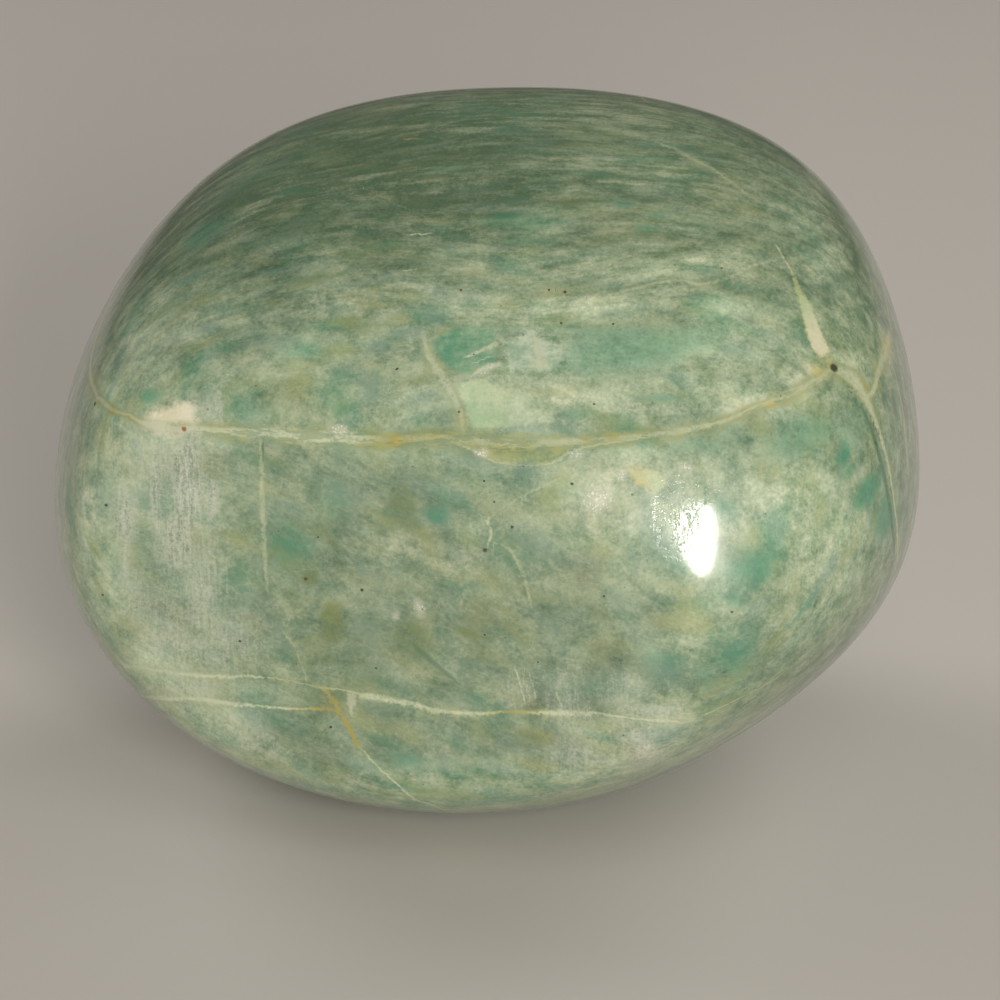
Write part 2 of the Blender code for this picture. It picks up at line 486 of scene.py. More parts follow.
            ("round", 160, 30, 0.4, 0.6, 0.5), ("round", 141, 27, 0.4, 0.4, 0.4),
            ("round", 122, 29, 0.35, 0.4, 0.3), ("round", 104, 25, 0.35, 0.4, 0.3),
            ("round", 90, 23, 0.35, 0.5, 0.2), ("round", 81, 20, 0.35, 0.6, 0.2),
        ],
        "dark side of the chain": [
            (862, 408, 0.2, -1, 0), (873, 434, 0.3, -1, 0), (880, 458, 0.4, -1, 0),
            (886, 484, 0.4, -1, 0), (890, 508, 0.4, -1, 0), (893, 532, 0.35, -1, 0),
            (894, 556, 0.25, -1, 0),
        ],
        "bright split": [
            (464, 358, 0.1, -0.1, 0), (480, 351, 0.26, -0.1, 0), (498, 343, 0.36, -0.1, 0),
        ],
        "lower split": [
            (470, 376, 0.1, -0.1, 0), (484, 368, 0.26, -0.1, 0), (499, 364, 0.3, -0.1, 0),
        ],
        "upright spike": [
            (533, 331, 0.1, -0.1, 0), (537, 348, 0.3, -0.1, 0), (540, 368, 0.45, -0.1, 0),
        ],
        "olive slash": [
            (411, 641, 0.15, -1, 0), (419, 650, 0.35, -1, 0), (436, 665, 0.3, -1, 0),
            (462, 686, 0.15, -1, 0),
        ],
        "white fleck": [(408, 235, 0.08, 0, 0), (420, 234, 0.14, 0, 0), (432, 233, 0.08, 0, 0)],
        "lower fleck": [(402, 271, 0.08, 0, 0), (410, 270, 0.12, 0, 0), (417, 269, 0.08, 0, 0)],
        "brown dash": [
            (403, 139, 0.12, 0.8, 0), (415, 139, 0.22, 0.8, 0), (427, 139, 0.12, 0.8, 0),
        ],
        "wedge's stem": [
            (776, 245, 0.14, 0.35, 0.0), (784, 258, 0.18, 0.35, 0.0), (792, 272, 0.18, 0.3, 0.0),
        ],
    },
}
# How strongly a line shows, where it isn't full.
STRENGTHS = {
    "ochre slant": 0.8, "rising branch": 0.65, "upright crack": 0.45, "upper thread": 0.5,
    "thread near the top": 0.45, "pink line": 0.8, "faint rise": 0.3, "faint fall": 0.4,
    "faint left": 0.35, "scratch": 0.7, "scratch beside it": 0.6, "short scratch": 0.5,
    "short dark line": 0.8, "dark line": 0.8, "left spike": 0.7, "olive slash": 0.55,
    "dark side of the chain": 0.8, "rim thread": 0.6, "rim vein": 0.45,
    "right end of the crack": 0.75, "high strand": 0.8, "second strand": 0.6, "white fleck": 0.9,
    "lower fleck": 0.8, "brown dash": 0.5, "right fork": 0.9, "lower crack": 0.95,
    "belly thread": 0.5, "top thread behind": 0.6, "back thread": 0.7,
}

# %% Each set's two notes, from the nearest of its lines
END_FADE_MM = 1.5


def lines_of(routes):
    """Two notes for every skin point: (mm to the side, mm along, half width in mm), and (ochre,
    strength, braiding). The strength falls to nothing over the line's two ends."""
    best = np.full(len(skin), np.inf)
    line, look = np.zeros((len(skin), 3), np.float32), np.zeros((len(skin), 3), np.float32)
    for route, stops in routes.items():
        curve = path_of(stops)
        across, along, nearest, gap = beside(curve)
        long = np.linalg.norm(np.diff(curve[:, :3], axis=0), axis=1).sum() * MM
        fade_mm = min(END_FADE_MM, long / 4)
        fade = np.clip(np.minimum(along, long - along) / fade_mm + 0.5, 0, 1)
        fade *= STRENGTHS.get(route, 1.0)
        # Beyond a line's end the way to its side is no measure, so the whole gap is taken there.
        side = np.where(np.abs(across) < gap * 0.5, np.sign(across) * gap, across)
        closer = gap < best
        best = np.where(closer, gap, best)
        line[closer] = np.stack([side, along, curve[nearest, 3]], axis=1)[closer]
        look[closer] = np.stack([curve[nearest, 4], fade, curve[nearest, 5]], axis=1)[closer]
        print(f"  {route}, {long:.0f} mm")
    line[:, 0] = np.clip(line[:, 0], -FAR_OFF, FAR_OFF)
    return line, look


values = {}
for name, routes in LINE_SETS.items():
    print("line set", name)
    values["line_" + name], values["look_" + name] = lines_of(routes)

# %% [markdown]
# ## Patches with an outline
#
# Where the feldspar split along its grain and healed again, a patch has straight, crisp sides:
# a blue-green one and a whitish one side by side, a smooth mint one under them, a cream triangle
# on the main crack, a long pale wedge at the right and a small pale flag on the low strand. A lens
# of olive hangs under the crack, a broken fleck lies near the glint, and a blue-green band has
# softer sides. Each is a closed path, and every point of the skin learns how deep inside it lies,
# in millimetres.

# %% Outlines, in pixels
OUTLINES = {
    "teal_facet": [
        (430, 346), (439, 333), (457, 326), (480, 325), (495, 328), (497, 345), (497, 368),
        (484, 374), (464, 375), (449, 371), (438, 360),
    ],
    "white_facet": [
        (500, 333), (513, 337), (533, 329), (541, 336), (557, 343), (565, 354), (561, 369),
        (547, 374), (533, 373), (521, 370), (511, 375), (504, 356),
    ],
    "mint": [
        (457, 384), (469, 379), (488, 381), (508, 388), (535, 391), (570, 395), (596, 404),
        (566, 413), (536, 423), (505, 429), (475, 433), (467, 424), (461, 404),
    ],
    "cream": [
        (135, 420), (148, 410), (163, 402), (180, 398), (196, 399), (201, 412), (201, 432),
        (184, 440), (160, 440), (142, 432),
    ],
    "wedge": [
        (788, 266), (794, 272), (802, 288), (813, 309), (824, 335), (831, 352), (822, 359),
        (811, 350), (805, 338), (801, 318), (796, 294), (791, 279),
    ],
    "lime_flag": [(346, 691), (356, 693), (356, 703), (354, 713), (351, 719), (348, 706)],
    "lens": [
        (455, 445), (468, 451), (482, 458), (500, 464), (522, 466), (545, 465), (560, 460),
        (573, 450), (556, 446), (530, 448), (500, 448), (476, 445),
    ],
    "teal_band": [
        (566, 338), (585, 327), (620, 322), (655, 324), (690, 328), (716, 338), (704, 352),
        (680, 362), (650, 372), (615, 378), (585, 378), (566, 366),
    ],
    "fleck": [
        (624, 470), (634, 462), (648, 463), (661, 468), (670, 478), (668, 490), (658, 499),
        (646, 494), (634, 488), (627, 481),
    ],
}


def pixels_of(points):
    """The pixels of points: how far right and down they lie, over how far off they are."""
    off = points - EYE
    away = -off @ TO_CAMERA
    return PICTURE / 2 + LENS_PIXELS * np.stack([off @ SIDE, -off @ ABOVE], axis=1) / away[:, None]


def within(points, corners):
    """Whether points lie in a polygon: a ray to the right then crosses an odd count of sides."""
    inside = np.zeros(len(points), bool)
    for (x0, y0), (x1, y1) in zip(corners, np.roll(corners, -1, axis=0)):
        spans = (y0 > points[:, 1]) != (y1 > points[:, 1])
        rise = (y1 - y0) if y1 != y0 else 1.0
        inside ^= spans & (points[:, 0] < x0 + (points[:, 1] - y0) * (x1 - x0) / rise)
    return inside


def note_down(columns, notes_of):
    """Keeps three named columns as one note, for each note's name in the table."""
    for note, names in notes_of.items():
        values[note] = np.stack([columns[name] for name in names], axis=1)


# %% How deep each point lies inside each outline: over 0 inside, under 0 outside
skin_pixels = pixels_of(skin)
faces_camera = skin_normals @ TO_CAMERA > 0
depths = {}
for name, corners in OUTLINES.items():
    curve = path_of(corners, closed=True)
    gap = beside(curve)[3]
    inside = within(skin_pixels, pixels_of(curve[:, :3])) & faces_camera
    depths[name] = np.clip(np.where(inside, gap, -gap), -FAR_OFF, FAR_OFF)
    print(f"outline {name}: {inside.sum()} points inside")
note_down(depths, {
    "facets": ("teal_facet", "white_facet", "mint"),
    "flags": ("cream", "wedge", "lime_flag"),
    "fills": ("lens", "teal_band", "fleck"),
})

# %% [markdown]
# ## Soft stains
#
# Most of the colour has no outline at all. Blue-green, dark green, olive, milky and ochre clouds
# melt into each other, over broad paler and darker zones: partly the stone's own tone, partly
# painted light and shade. Flakes, sparkles and scuffs keep to soft spots of their own. Each cloud
# is a soft oval: whole at its middle and nothing at its rim.
# The finish tears its rim with the stone's own grain. Ovals on the hidden sides come from a
# seeded draw, so that the back is as lively as the front.

# %% Clouds: pixel x, y, half width, half height, turn in degrees, strength
CLOUDS = {
    "teal": [
        (205, 232, 38, 14, 35, 0.8), (450, 168, 34, 7, 3, 0.5), (503, 222, 30, 11, 3, 0.7),
        (545, 182, 22, 8, 3, 0.5), (624, 205, 14, 6, -3, 0.6), (645, 230, 16, 8, -3, 0.8),
        (660, 216, 14, 7, -10, 0.8), (150, 396, 18, 10, 15, 0.9), (650, 350, 80, 24, 0, 0.5),
        (660, 399, 36, 7, 0, 0.7), (578, 413, 24, 8, 0, 0.8), (512, 366, 14, 9, 0, 0.5),
        (300, 350, 40, 18, 5, 0.45), (250, 412, 34, 14, 0, 0.45), (843, 454, 9, 15, -15, 1.2),
        (870, 490, 11, 26, -32, 1.3), (885, 516, 11, 26, -14, 1.3), (752, 566, 34, 24, 20, 0.75),
        (738, 600, 16, 10, 0, 0.7), (733, 660, 24, 26, -30, 0.8), (706, 680, 16, 16, 0, 0.7),
        (335, 500, 26, 40, 0, 0.5), (318, 530, 34, 22, 0, 0.5), (440, 510, 28, 16, 20, 0.55),
        (522, 480, 28, 16, 15, 0.4), (590, 690, 34, 18, 25, 0.6), (312, 568, 40, 8, 5, 0.5),
        (700, 330, 50, 10, -5, 0.4), (770, 300, 24, 20, 0, 0.35), (720, 440, 70, 16, 8, 0.6),
        (800, 436, 50, 26, 20, 0.75), (655, 655, 30, 30, 40, 0.35), (572, 413, 13, 5, 0, 0.9),
        (105, 400, 14, 20, 20, 0.5), (700, 225, 40, 12, -15, 0.4), (810, 250, 28, 16, -30, 0.4),
        (850, 430, 22, 30, -10, 0.5), (288, 545, 30, 40, 0, 0.8), (438, 510, 18, 18, 0, 0.9),
        (395, 762, 30, 12, 0, 0.7), (310, 772, 24, 12, -20, 0.4), (470, 798, 40, 10, 0, 0.3),
        (850, 470, 7, 12, -30, 0.8),
    ],
    "deep": [
        (250, 185, 70, 14, 28, 0.7), (300, 225, 60, 14, 14, 0.7), (370, 236, 26, 8, 5, 0.8),
        (420, 205, 70, 9, 5, 0.7), (508, 215, 32, 5, 3, 0.9), (600, 176, 22, 5, -4, 0.7),
        (380, 150, 90, 18, 8, 0.6), (330, 120, 70, 16, 12, 0.6), (560, 140, 90, 16, 0, 0.5),
        (430, 262, 50, 10, 6, 0.4), (205, 262, 40, 10, 28, 0.5), (180, 310, 40, 10, 24, 0.35),
        (310, 280, 44, 8, 10, 0.45), (403, 515, 22, 24, 0, 0.55), (540, 606, 26, 10, 15, 0.6),
        (585, 688, 26, 14, 25, 0.6), (155, 556, 32, 22, 0, 0.45), (700, 150, 60, 14, -18, 0.4),
        (760, 230, 50, 14, -24, 0.35), (640, 200, 60, 10, -5, 0.4), (480, 470, 60, 12, 0, 0.3),
        (780, 720, 80, 14, 34, 0.5), (70, 500, 10, 60, 5, 0.35), (470, 625, 30, 10, -15, 0.4),
        (600, 330, 40, 6, 0, 0.4), (255, 560, 24, 20, 0, 0.3), (368, 636, 28, 26, 0, 0.6),
        (368, 676, 22, 18, 0, 0.6), (385, 712, 30, 12, -10, 0.8), (752, 412, 20, 8, 20, 0.7),
    ],
    "olive": [
        (332, 624, 15, 22, 0, 1.7), (310, 578, 10, 8, 0, 1.2), (412, 640, 26, 26, 0, 0.9),
        (470, 634, 24, 7, -20, 1.0), (402, 505, 18, 26, 0, 0.9), (440, 433, 34, 10, 0, 0.9),
        (398, 441, 18, 7, 0, 1.0), (508, 452, 52, 10, 0, 1.2), (333, 700, 18, 18, 0, 0.7),
        (312, 722, 18, 26, 0, 0.4), (545, 738, 40, 12, 0, 0.6), (480, 735, 30, 14, 0, 0.4),
        (120, 640, 16, 26, -30, 0.5), (440, 690, 60, 14, -5, 0.3), (780, 700, 90, 18, 32, 0.4),
        (370, 380, 60, 20, 5, 0.3), (570, 290, 40, 14, 0, 0.5), (600, 240, 20, 8, 0, 0.5),
        (730, 175, 30, 12, -20, 0.4), (860, 350, 18, 20, 0, 0.4), (350, 150, 120, 24, 8, 0.3),
    ],
    "milky": [
        (520, 410, 60, 22, 0, 0.6), (560, 400, 46, 16, 0, 0.7), (350, 300, 120, 16, 8, 0.5),
        (540, 260, 80, 18, 0, 0.4), (580, 300, 60, 12, 0, 0.6), (190, 330, 60, 14, 22, 0.4),
        (640, 410, 70, 14, 3, 0.6), (630, 480, 50, 22, 0, 0.8), (600, 520, 40, 30, -30, 0.6),
        (780, 500, 40, 30, 0, 0.35), (820, 560, 30, 40, -30, 0.4), (790, 620, 40, 30, 40, 0.35),
        (692, 610, 10, 40, -5, 0.5), (260, 745, 50, 16, -30, 0.5), (420, 780, 80, 16, 0, 0.5),
        (600, 760, 70, 22, 10, 0.6), (640, 738, 66, 28, 20, 0.8), (90, 505, 12, 26, 0, 0.8),
        (400, 546, 24, 20, 0, 0.9), (452, 562, 40, 18, 0, 0.6), (700, 260, 40, 10, -5, 0.5),
        (800, 330, 24, 26, 0, 0.3), (165, 640, 50, 24, -30, 0.5), (330, 480, 26, 24, 0, 0.2),
        (530, 350, 34, 26, 0, 0.6), (756, 402, 34, 12, 20, 1.0), (798, 384, 34, 15, 24, 1.3),
        (846, 366, 16, 12, 0, 0.9),
    ],
    "flaked": [
        (196, 409, 5, 16, 0, 1.0), (208, 409, 5, 13, 0, 0.9), (218, 408, 5, 19, 0, 1.0),
        (187, 485, 18, 62, 0, 1.5), (178, 540, 22, 40, 0, 1.1), (124, 516, 13, 32, 0, 1.1),
        (212, 500, 8, 26, 0, 1.2), (155, 492, 6, 56, 0, 1.2), (165, 460, 60, 40, 0, 0.6),
        (126, 545, 5, 60, 0, 0.9), (135, 600, 8, 30, 0, 0.8), (200, 590, 26, 70, 0, 0.75),
        (165, 630, 50, 50, 0, 0.6), (225, 640, 40, 40, 0, 0.55), (180, 690, 50, 24, 0, 0.6),
        (240, 730, 40, 20, -30, 0.5), (570, 700, 26, 40, 0, 0.5), (520, 690, 22, 20, 0, 0.4),
        (575, 755, 30, 22, 0, 0.55), (640, 752, 30, 22, 20, 0.6), (660, 712, 34, 14, 0, 0.6),
        (620, 690, 34, 20, 0, 0.5),
    ],
    "sparkle": [
        (598, 501, 15, 14, 0, 0.9), (623, 474, 5, 5, 0, 0.9), (622, 477, 4, 5, 0, 0.9),
        (419, 607, 5, 9, 15, 0.9), (396, 615, 4, 5, 0, 0.7), (338, 429, 11, 5, 0, 0.8),
        (646, 752, 12, 14, 20, 0.35), (487, 369, 10, 4, 25, 0.9), (576, 455, 7, 5, 0, 0.7),
        (686, 467, 7, 5, 0, 0.7), (482, 453, 8, 5, 0, 0.8),
    ],
    # Painted light, partly the stone's own paler zones: these ovals lift the tone and the
    # brightness.
    "pale": [
        (720, 230, 170, 90, -20, 0.7), (870, 420, 50, 200, 5, 0.8), (110, 500, 70, 160, 0, 0.9),
        (190, 560, 60, 150, 0, 0.5), (150, 330, 50, 60, 40, 0.5), (700, 440, 120, 60, 0, 0.4),
        (560, 400, 90, 40, 0, 0.4), (860, 560, 50, 60, -40, 0.6), (240, 720, 90, 50, -30, 0.5),
        (640, 305, 210, 34, -3, 1.3), (650, 360, 210, 46, 0, 0.9), (480, 300, 90, 26, 0, 1.1),
        (340, 355, 130, 30, 5, 0.8), (590, 400, 60, 30, 0, 0.6), (760, 400, 60, 30, 0, 0.6),
        (806, 510, 70, 60, 0, 0.9), (660, 265, 150, 30, 0, 1.3), (740, 335, 120, 50, 0, 1.7),
        (745, 262, 50, 24, -10, 1.7), (652, 176, 50, 22, 0, 1.2), (650, 268, 60, 24, 0, 2.2),
        (476, 308, 50, 20, 0, 1.7), (720, 308, 42, 18, 0, 3.4), (740, 398, 60, 20, -10, 1.7),
        (872, 352, 26, 30, 0, 2.2), (102, 396, 26, 24, 0, 2.4), (160, 442, 50, 18, 0, 1.6),
        (210, 440, 40, 16, 0, 1.2), (632, 450, 30, 16, 0, 1.6), (476, 528, 24, 20, 0, 1.2),
        (146, 660, 30, 22, 0, 1.3), (256, 176, 30, 16, 25, 0.8), (790, 176, 24, 16, -40, 1.2),
        (806, 484, 34, 26, 0, 1.3), (828, 262, 24, 30, -30, 1.6), (586, 398, 40, 14, 0, 1.5),
        (542, 440, 30, 10, 0, 2.2), (454, 396, 20, 16, 0, 1.2), (860, 330, 30, 60, 0, 1.2),
        (670, 350, 80, 30, 0, 1.4), (800, 200, 40, 40, 0, 1.2), (520, 352, 40, 20, 0, 0.8),
        (870, 340, 30, 60, 0, 0.5), (105, 385, 40, 50, 0, 1.2), (696, 612, 20, 40, 0, 0.4),
        (640, 140, 90, 40, 0, 0.6), (670, 705, 40, 20, 0, 0.7), (500, 265, 100, 26, 0, 0.8),
        (330, 396, 60, 20, 0, 0.6), (230, 580, 30, 60, 0, 0.5), (160, 680, 40, 30, 0, 0.6),
        (542, 220, 40, 18, 0, 2.0), (676, 220, 44, 18, 0, 2.2), (520, 264, 36, 18, 0, 1.8),
        (608, 264, 40, 18, 0, 2.2), (700, 264, 36, 20, 0, 2.6), (625, 308, 48, 18, 0, 2.4),
        (806, 220, 26, 20, -40, 2.2), (586, 308, 34, 14, 0, 3.3), (542, 308, 30, 14, 0, 2.4),
        (300, 352, 28, 18, 0, 2.0), (696, 352, 30, 16, 0, 2.8), (806, 398, 28, 20, 0, 1.9),
        (850, 528, 26, 26, 0, 1.9), (135, 330, 24, 60, 30, 1.5), (564, 484, 26, 18, 0, 1.0),
    ],
    # Painted shade, partly the stone's own darker zones: these ovals lower the tone and the
    # brightness on the dome, the lower window and the belly.
    "shade": [
        (330, 170, 190, 60, 20, 1.3), (420, 150, 150, 50, 6, 1.0), (440, 195, 120, 40, 5, 0.9),
        (200, 260, 60, 80, 40, 0.4), (760, 690, 150, 40, 35, 0.9), (640, 760, 130, 40, 12, 0.3),
        (430, 770, 160, 40, 0, 0.5), (850, 450, 30, 90, 0, 0.5), (330, 420, 60, 60, 0, 0.3),
        (440, 510, 110, 60, 0, 0.6), (440, 640, 260, 80, 0, 0.7), (520, 710, 60, 30, 0, 0.6),
        (300, 740, 70, 40, -30, 0.6), (560, 610, 90, 60, 0, 0.3), (150, 555, 40, 40, 0, 0.5),
        (300, 540, 60, 60, 0, 0.5), (390, 745, 60, 50, 0, 0.5), (320, 748, 50, 30, 0, 0.9),
        (520, 748, 40, 20, 0, 1.0), (784, 616, 40, 50, 0, 0.8), (256, 264, 50, 30, 0, 1.3),
        (430, 170, 100, 30, 0, 0.9), (388, 180, 50, 26, 0, 1.2), (388, 264, 40, 18, 0, 1.0),
        (278, 308, 34, 24, 0, 1.1), (322, 572, 38, 26, 0, 1.1), (476, 616, 38, 26, 0, 1.2),
        (762, 660, 44, 28, 35, 1.5), (542, 704, 28, 20, 0, 2.4), (300, 750, 64, 26, -20, 2.2),
        (388, 750, 44, 22, 0, 1.0), (674, 684, 56, 34, 20, 1.6), (520, 484, 36, 22, 0, 1.3),
        (256, 616, 28, 26, 0, 1.4), (586, 572, 32, 24, 0, 1.1), (652, 616, 32, 26, 0, 1.3),
        (256, 352, 38, 20, 0, 1.1), (388, 352, 34, 18, 0, 0.9), (278, 396, 36, 18, 0, 1.0),
        (388, 222, 54, 20, 4, 1.2), (168, 352, 28, 18, 0, 1.1), (344, 528, 28, 24, 0, 1.1),
        (165, 616, 64, 28, 0, 1.0), (322, 706, 26, 20, 0, 1.2), (600, 702, 56, 22, 0, 1.8),
        (606, 660, 40, 22, 0, 1.4), (718, 684, 30, 30, 0, 1.6), (552, 750, 50, 22, 0, 2.0),
        (634, 748, 44, 22, 10, 1.5),
    ],
    "scuffed": [(677, 516, 20, 36, 0, 1.5), (690, 492, 26, 10, 0, 1.0)],
    "ochre": [
        (398, 441, 16, 5, 0, 0.8), (440, 434, 26, 7, 0, 0.5), (461, 414, 6, 14, 0, 0.8),
        (560, 452, 12, 9, 20, 0.6), (330, 704, 14, 12, 0, 0.6), (640, 483, 14, 4, -25, 1.2),
        (824, 366, 18, 12, 20, 0.9), (887, 348, 7, 14, 0, 0.9), (768, 405, 26, 8, 20, 0.8),
        (135, 402, 12, 8, 0, 0.7), (545, 736, 12, 6, 0, 0.6), (506, 446, 30, 7, 0, 0.5),
        (790, 396, 24, 7, 20, 0.6), (90, 378, 8, 14, 0, 0.6), (515, 545, 18, 14, 0, 0.25),
    ],
}

# %% Ovals, seen and hidden
# How many hidden ovals of each kind there are, and their usual half size in mm.
HIDDEN = {
    "teal": (16, 3.5), "deep": (14, 5), "olive": (10, 4), "milky": (16, 6), "flaked": (4, 6),
    "sparkle": (5, 1.2), "pale": (6, 12), "shade": (8, 12), "scuffed": (3, 2), "ochre": (4, 2),
}
HIDDEN_DRAW = 41
# Where the hidden ovals may lie, as azimuths and sines of elevations, and how they vary.
HIDDEN_AROUND, HIDDEN_UP = (95, 265), (-0.9, 0.9)
HIDDEN_SIZES, HIDDEN_STRENGTHS = (0.6, 1.6), (0.5, 0.95)
HIDDEN_LONG, HIDDEN_SHORT = 1.8, 0.7
OVAL_DEPTH = 0.012
# An oval is nothing where its squared distance, in half sizes, is more than this.
OVAL_RIM = 2.2
# Hidden ovals start at the stone's outline, and are whole once the skin is a fifth turned away.
HIDING = 5
draw = np.random.default_rng(HIDDEN_DRAW)


def oval(middle, half_across, half_down, strength):
    """Soft oval: strength times (1 - d squared / rim) squared, d the distance in half sizes."""
    normal = facing(middle[None])[0] * OVAL_DEPTH
    own = (skin - middle) @ np.linalg.inv(np.array((half_across, half_down, normal)))
    return strength * np.maximum(1 - (own**2).sum(axis=1) / OVAL_RIM, 0) ** 2


def seen_oval(x, y, wide, high, turn, strength):
    """The oval of one row: its middle and the ends of its two half sizes, dropped on the stone."""
    cos, sin = math.cos(math.radians(turn)), math.sin(math.radians(turn))
    spots = on_stone([(x, y), (x + wide * cos, y - wide * sin), (x + high * sin, y + high * cos)])
    return oval(spots[0], spots[1] - spots[0], spots[2] - spots[0], strength)


def hidden_oval(usual_mm):
    """An oval at a drawn place behind, long on the level, of a drawn size and strength."""
    azimuth, elevation = draw.uniform(*HIDDEN_AROUND), math.asin(draw.uniform(*HIDDEN_UP))
    middle = drop_on(CENTRE + outward(azimuth, math.degrees(elevation))[None])[0]
    out = facing(middle[None])[0]
    level = np.cross(out, (0.0, 0.0, 1.0))
    level /= np.linalg.norm(level)
    size = usual_mm / MM * draw.uniform(*HIDDEN_SIZES)
    across, down = level * size * HIDDEN_LONG, np.cross(level, out) * size * HIDDEN_SHORT
    return oval(middle, across, down, draw.uniform(*HIDDEN_STRENGTHS))


def clouds_of(name, rows):
    """Strongest of the named ovals at each skin point, the hidden ones among them."""
    count, usual_mm = HIDDEN[name]
    total, hidden = np.zeros(len(skin)), np.zeros(len(skin))
    for row in rows:
        total = np.maximum(total, seen_oval(*row))
    for _ in range(count):
        hidden = np.maximum(hidden, hidden_oval(usual_mm))
    return np.maximum(total, hidden * out_of_sight)


out_of_sight = np.clip(-HIDING * skin_normals @ TO_CAMERA, 0, 1)
clouds = {name: clouds_of(name, rows) for name, rows in CLOUDS.items()}
# Painted light less painted shade, which are partly the stone's own paler and darker zones.
clouds["zone_and_light"] = clouds["pale"] - clouds["shade"]
note_down(clouds, {
    "stains": ("teal", "deep", "olive"),
    "hazes": ("milky", "flaked", "sparkle"),
    "rusts_and_light": ("ochre", "zone_and_light", "scuffed"),
})
print({name: round(float(cloud.mean()), 3) for name, cloud in clouds.items()})

# %% [markdown]
# ## Specks
#
# Dark grains of other minerals lie all over, and the larger ones have a place of their own. One
# is rusty. To draw a round dot the finish needs only the distance to the dot's middle, so every
# point of the skin is told where its nearest speck lies and how large it is.

# %% Specks: pixel x, y, radius in mm, rustiness
SPECKS = [
    (184, 429, 0.22, 0.95), (459, 412, 0.12, 0.35), (834, 368, 0.44, 0), (512, 527, 0.15, 0),
    (485, 550, 0.2, 0.15), (572, 484, 0.16, 0), (484, 481, 0.12, 0), (362, 590, 0.14, 0),
    (494, 502, 0.12, 0), (485, 635, 0.12, 0), (95, 404, 0.2, 0.2), (106, 505, 0.16, 0),
    (549, 290, 0.14, 0.15), (565, 292, 0.14, 0.15), (306, 579, 0.18, 0.2), (613, 324, 0.12, 0),
    (397, 369, 0.12, 0), (240, 641, 0.17, 0), (331, 727, 0.14, 0), (103, 595, 0.14, 0.4),
    (461, 290, 0.12, 0.3), (594, 404, 0.1, 0), (561, 323, 0.1, 0), (732, 612, 0.13, 0),
    (604, 596, 0.1, 0), (538, 662, 0.1, 0), (376, 668, 0.1, 0), (318, 537, 0.1, 0),
]
SPECK_DRAW, SPECK_COUNT = 5, 300
SPECK_RADII = (0.04, 0.1)
NAMED_DARK, SPECK_DARK = 0.9, (0.3, 0.7)
# Scattered specks that are nearer than this to another are left out.
SPECK_GAP = 0.002
NOT_NEAR = 1.0
chance = np.random.default_rng(SPECK_DRAW)
named = on_stone([speck[:2] for speck in SPECKS])
scattered = chance.normal(size=(SPECK_COUNT, 3))
scattered = drop_on(CENTRE + scattered / np.linalg.norm(scattered, axis=1, keepdims=True))
gaps = np.linalg.norm(scattered[:, None] - np.concatenate([named, scattered]), axis=2)
gaps[:, len(named):][np.triu_indices(SPECK_COUNT)] = NOT_NEAR
scattered = scattered[gaps.min(axis=1) > SPECK_GAP]
middles = np.concatenate([named, scattered])
# Each speck's radius, rustiness and darkness.
speck_look = np.zeros((len(middles), 3))
speck_look[:len(SPECKS), :2] = [speck[2:] for speck in SPECKS]
speck_look[:len(SPECKS), 2] = NAMED_DARK
speck_look[len(SPECKS):, 0] = chance.uniform(*SPECK_RADII, len(scattered))
speck_look[len(SPECKS):, 2] = chance.uniform(*SPECK_DARK, len(scattered))
nearest = ((middles**2).sum(axis=1) - 2 * skin @ middles.T).argmin(axis=1)
values["speck_at"], values["speck_look"] = middles[nearest] * MM, speck_look[nearest]
print(len(middles), "specks, the widest", 2 * speck_look[:, 0].max(), "mm")

# %% [markdown]
# ## Slow swells
#
# Nothing in a stone is quite level. Its layers sway by half a millimetre, and broad zones run a
# little bluer. Streaks that are long within the layers and short through them run greener or
# cooler. A few crossed waves are enough for all of it, and they are smooth enough to be worked
# out at the skin's points, which spares the finish some work. The window is noted here too.

# %% The frame of the layers, and the swells
# The way that the layers face, and two ways that lie within them: one level and one steep.
LAYER_FACING = (-3, 27)
THROUGH = outward(*LAYER_FACING)
LEVEL = np.cross((0.0, 0.0, 1.0), THROUGH)
LEVEL /= np.linalg.norm(LEVEL)
STEEP = np.cross(THROUGH, LEVEL)

SWELL_DRAW = 7
WAVES, LAYER_WAVES = 9, 40
# Shortest and longest wave of the two broad swells, and the layered waves' lengths, in mm.
SWAY_LONG, BLUE_LONG = (14, 40), (12, 30)
LAYER_LONG, LAYER_SHORT = 9.0, 2.6
WINDOW_RIM_MM = 0.25


def crossed_waves(turn, chance):
    """Sum of sines of the place, one for each row of turn, with drawn starts, about -1 to 1."""
    starts = chance.uniform(0, 2 * math.pi, len(turn))
    return np.sin(skin @ turn.T + starts).sum(axis=1) / math.sqrt(len(turn))


def swell(shortest, longest, seed):
    """Waves in drawn directions: one full turn over each drawn length."""
    chance = np.random.default_rng(seed)
    turn = chance.normal(size=(WAVES, 3))
    turn /= np.linalg.norm(turn, axis=1, keepdims=True)
    turn *= 2 * math.pi / chance.uniform(shortest, longest, (WAVES, 1)) * MM
    return crossed_waves(turn, chance)


def layered_swell(seed):
    """Waves that are long within the layers and short through them, by normal draws of both."""
    chance = np.random.default_rng(seed)
    flat = chance.normal(size=(LAYER_WAVES, 2)) * 2 * math.pi / LAYER_LONG * MM
    deep = chance.normal(size=LAYER_WAVES) * 2 * math.pi / LAYER_SHORT * MM
    turn = flat[:, :1] * LEVEL + flat[:, 1:] * STEEP + deep[:, None] * THROUGH
    return crossed_waves(turn, chance)


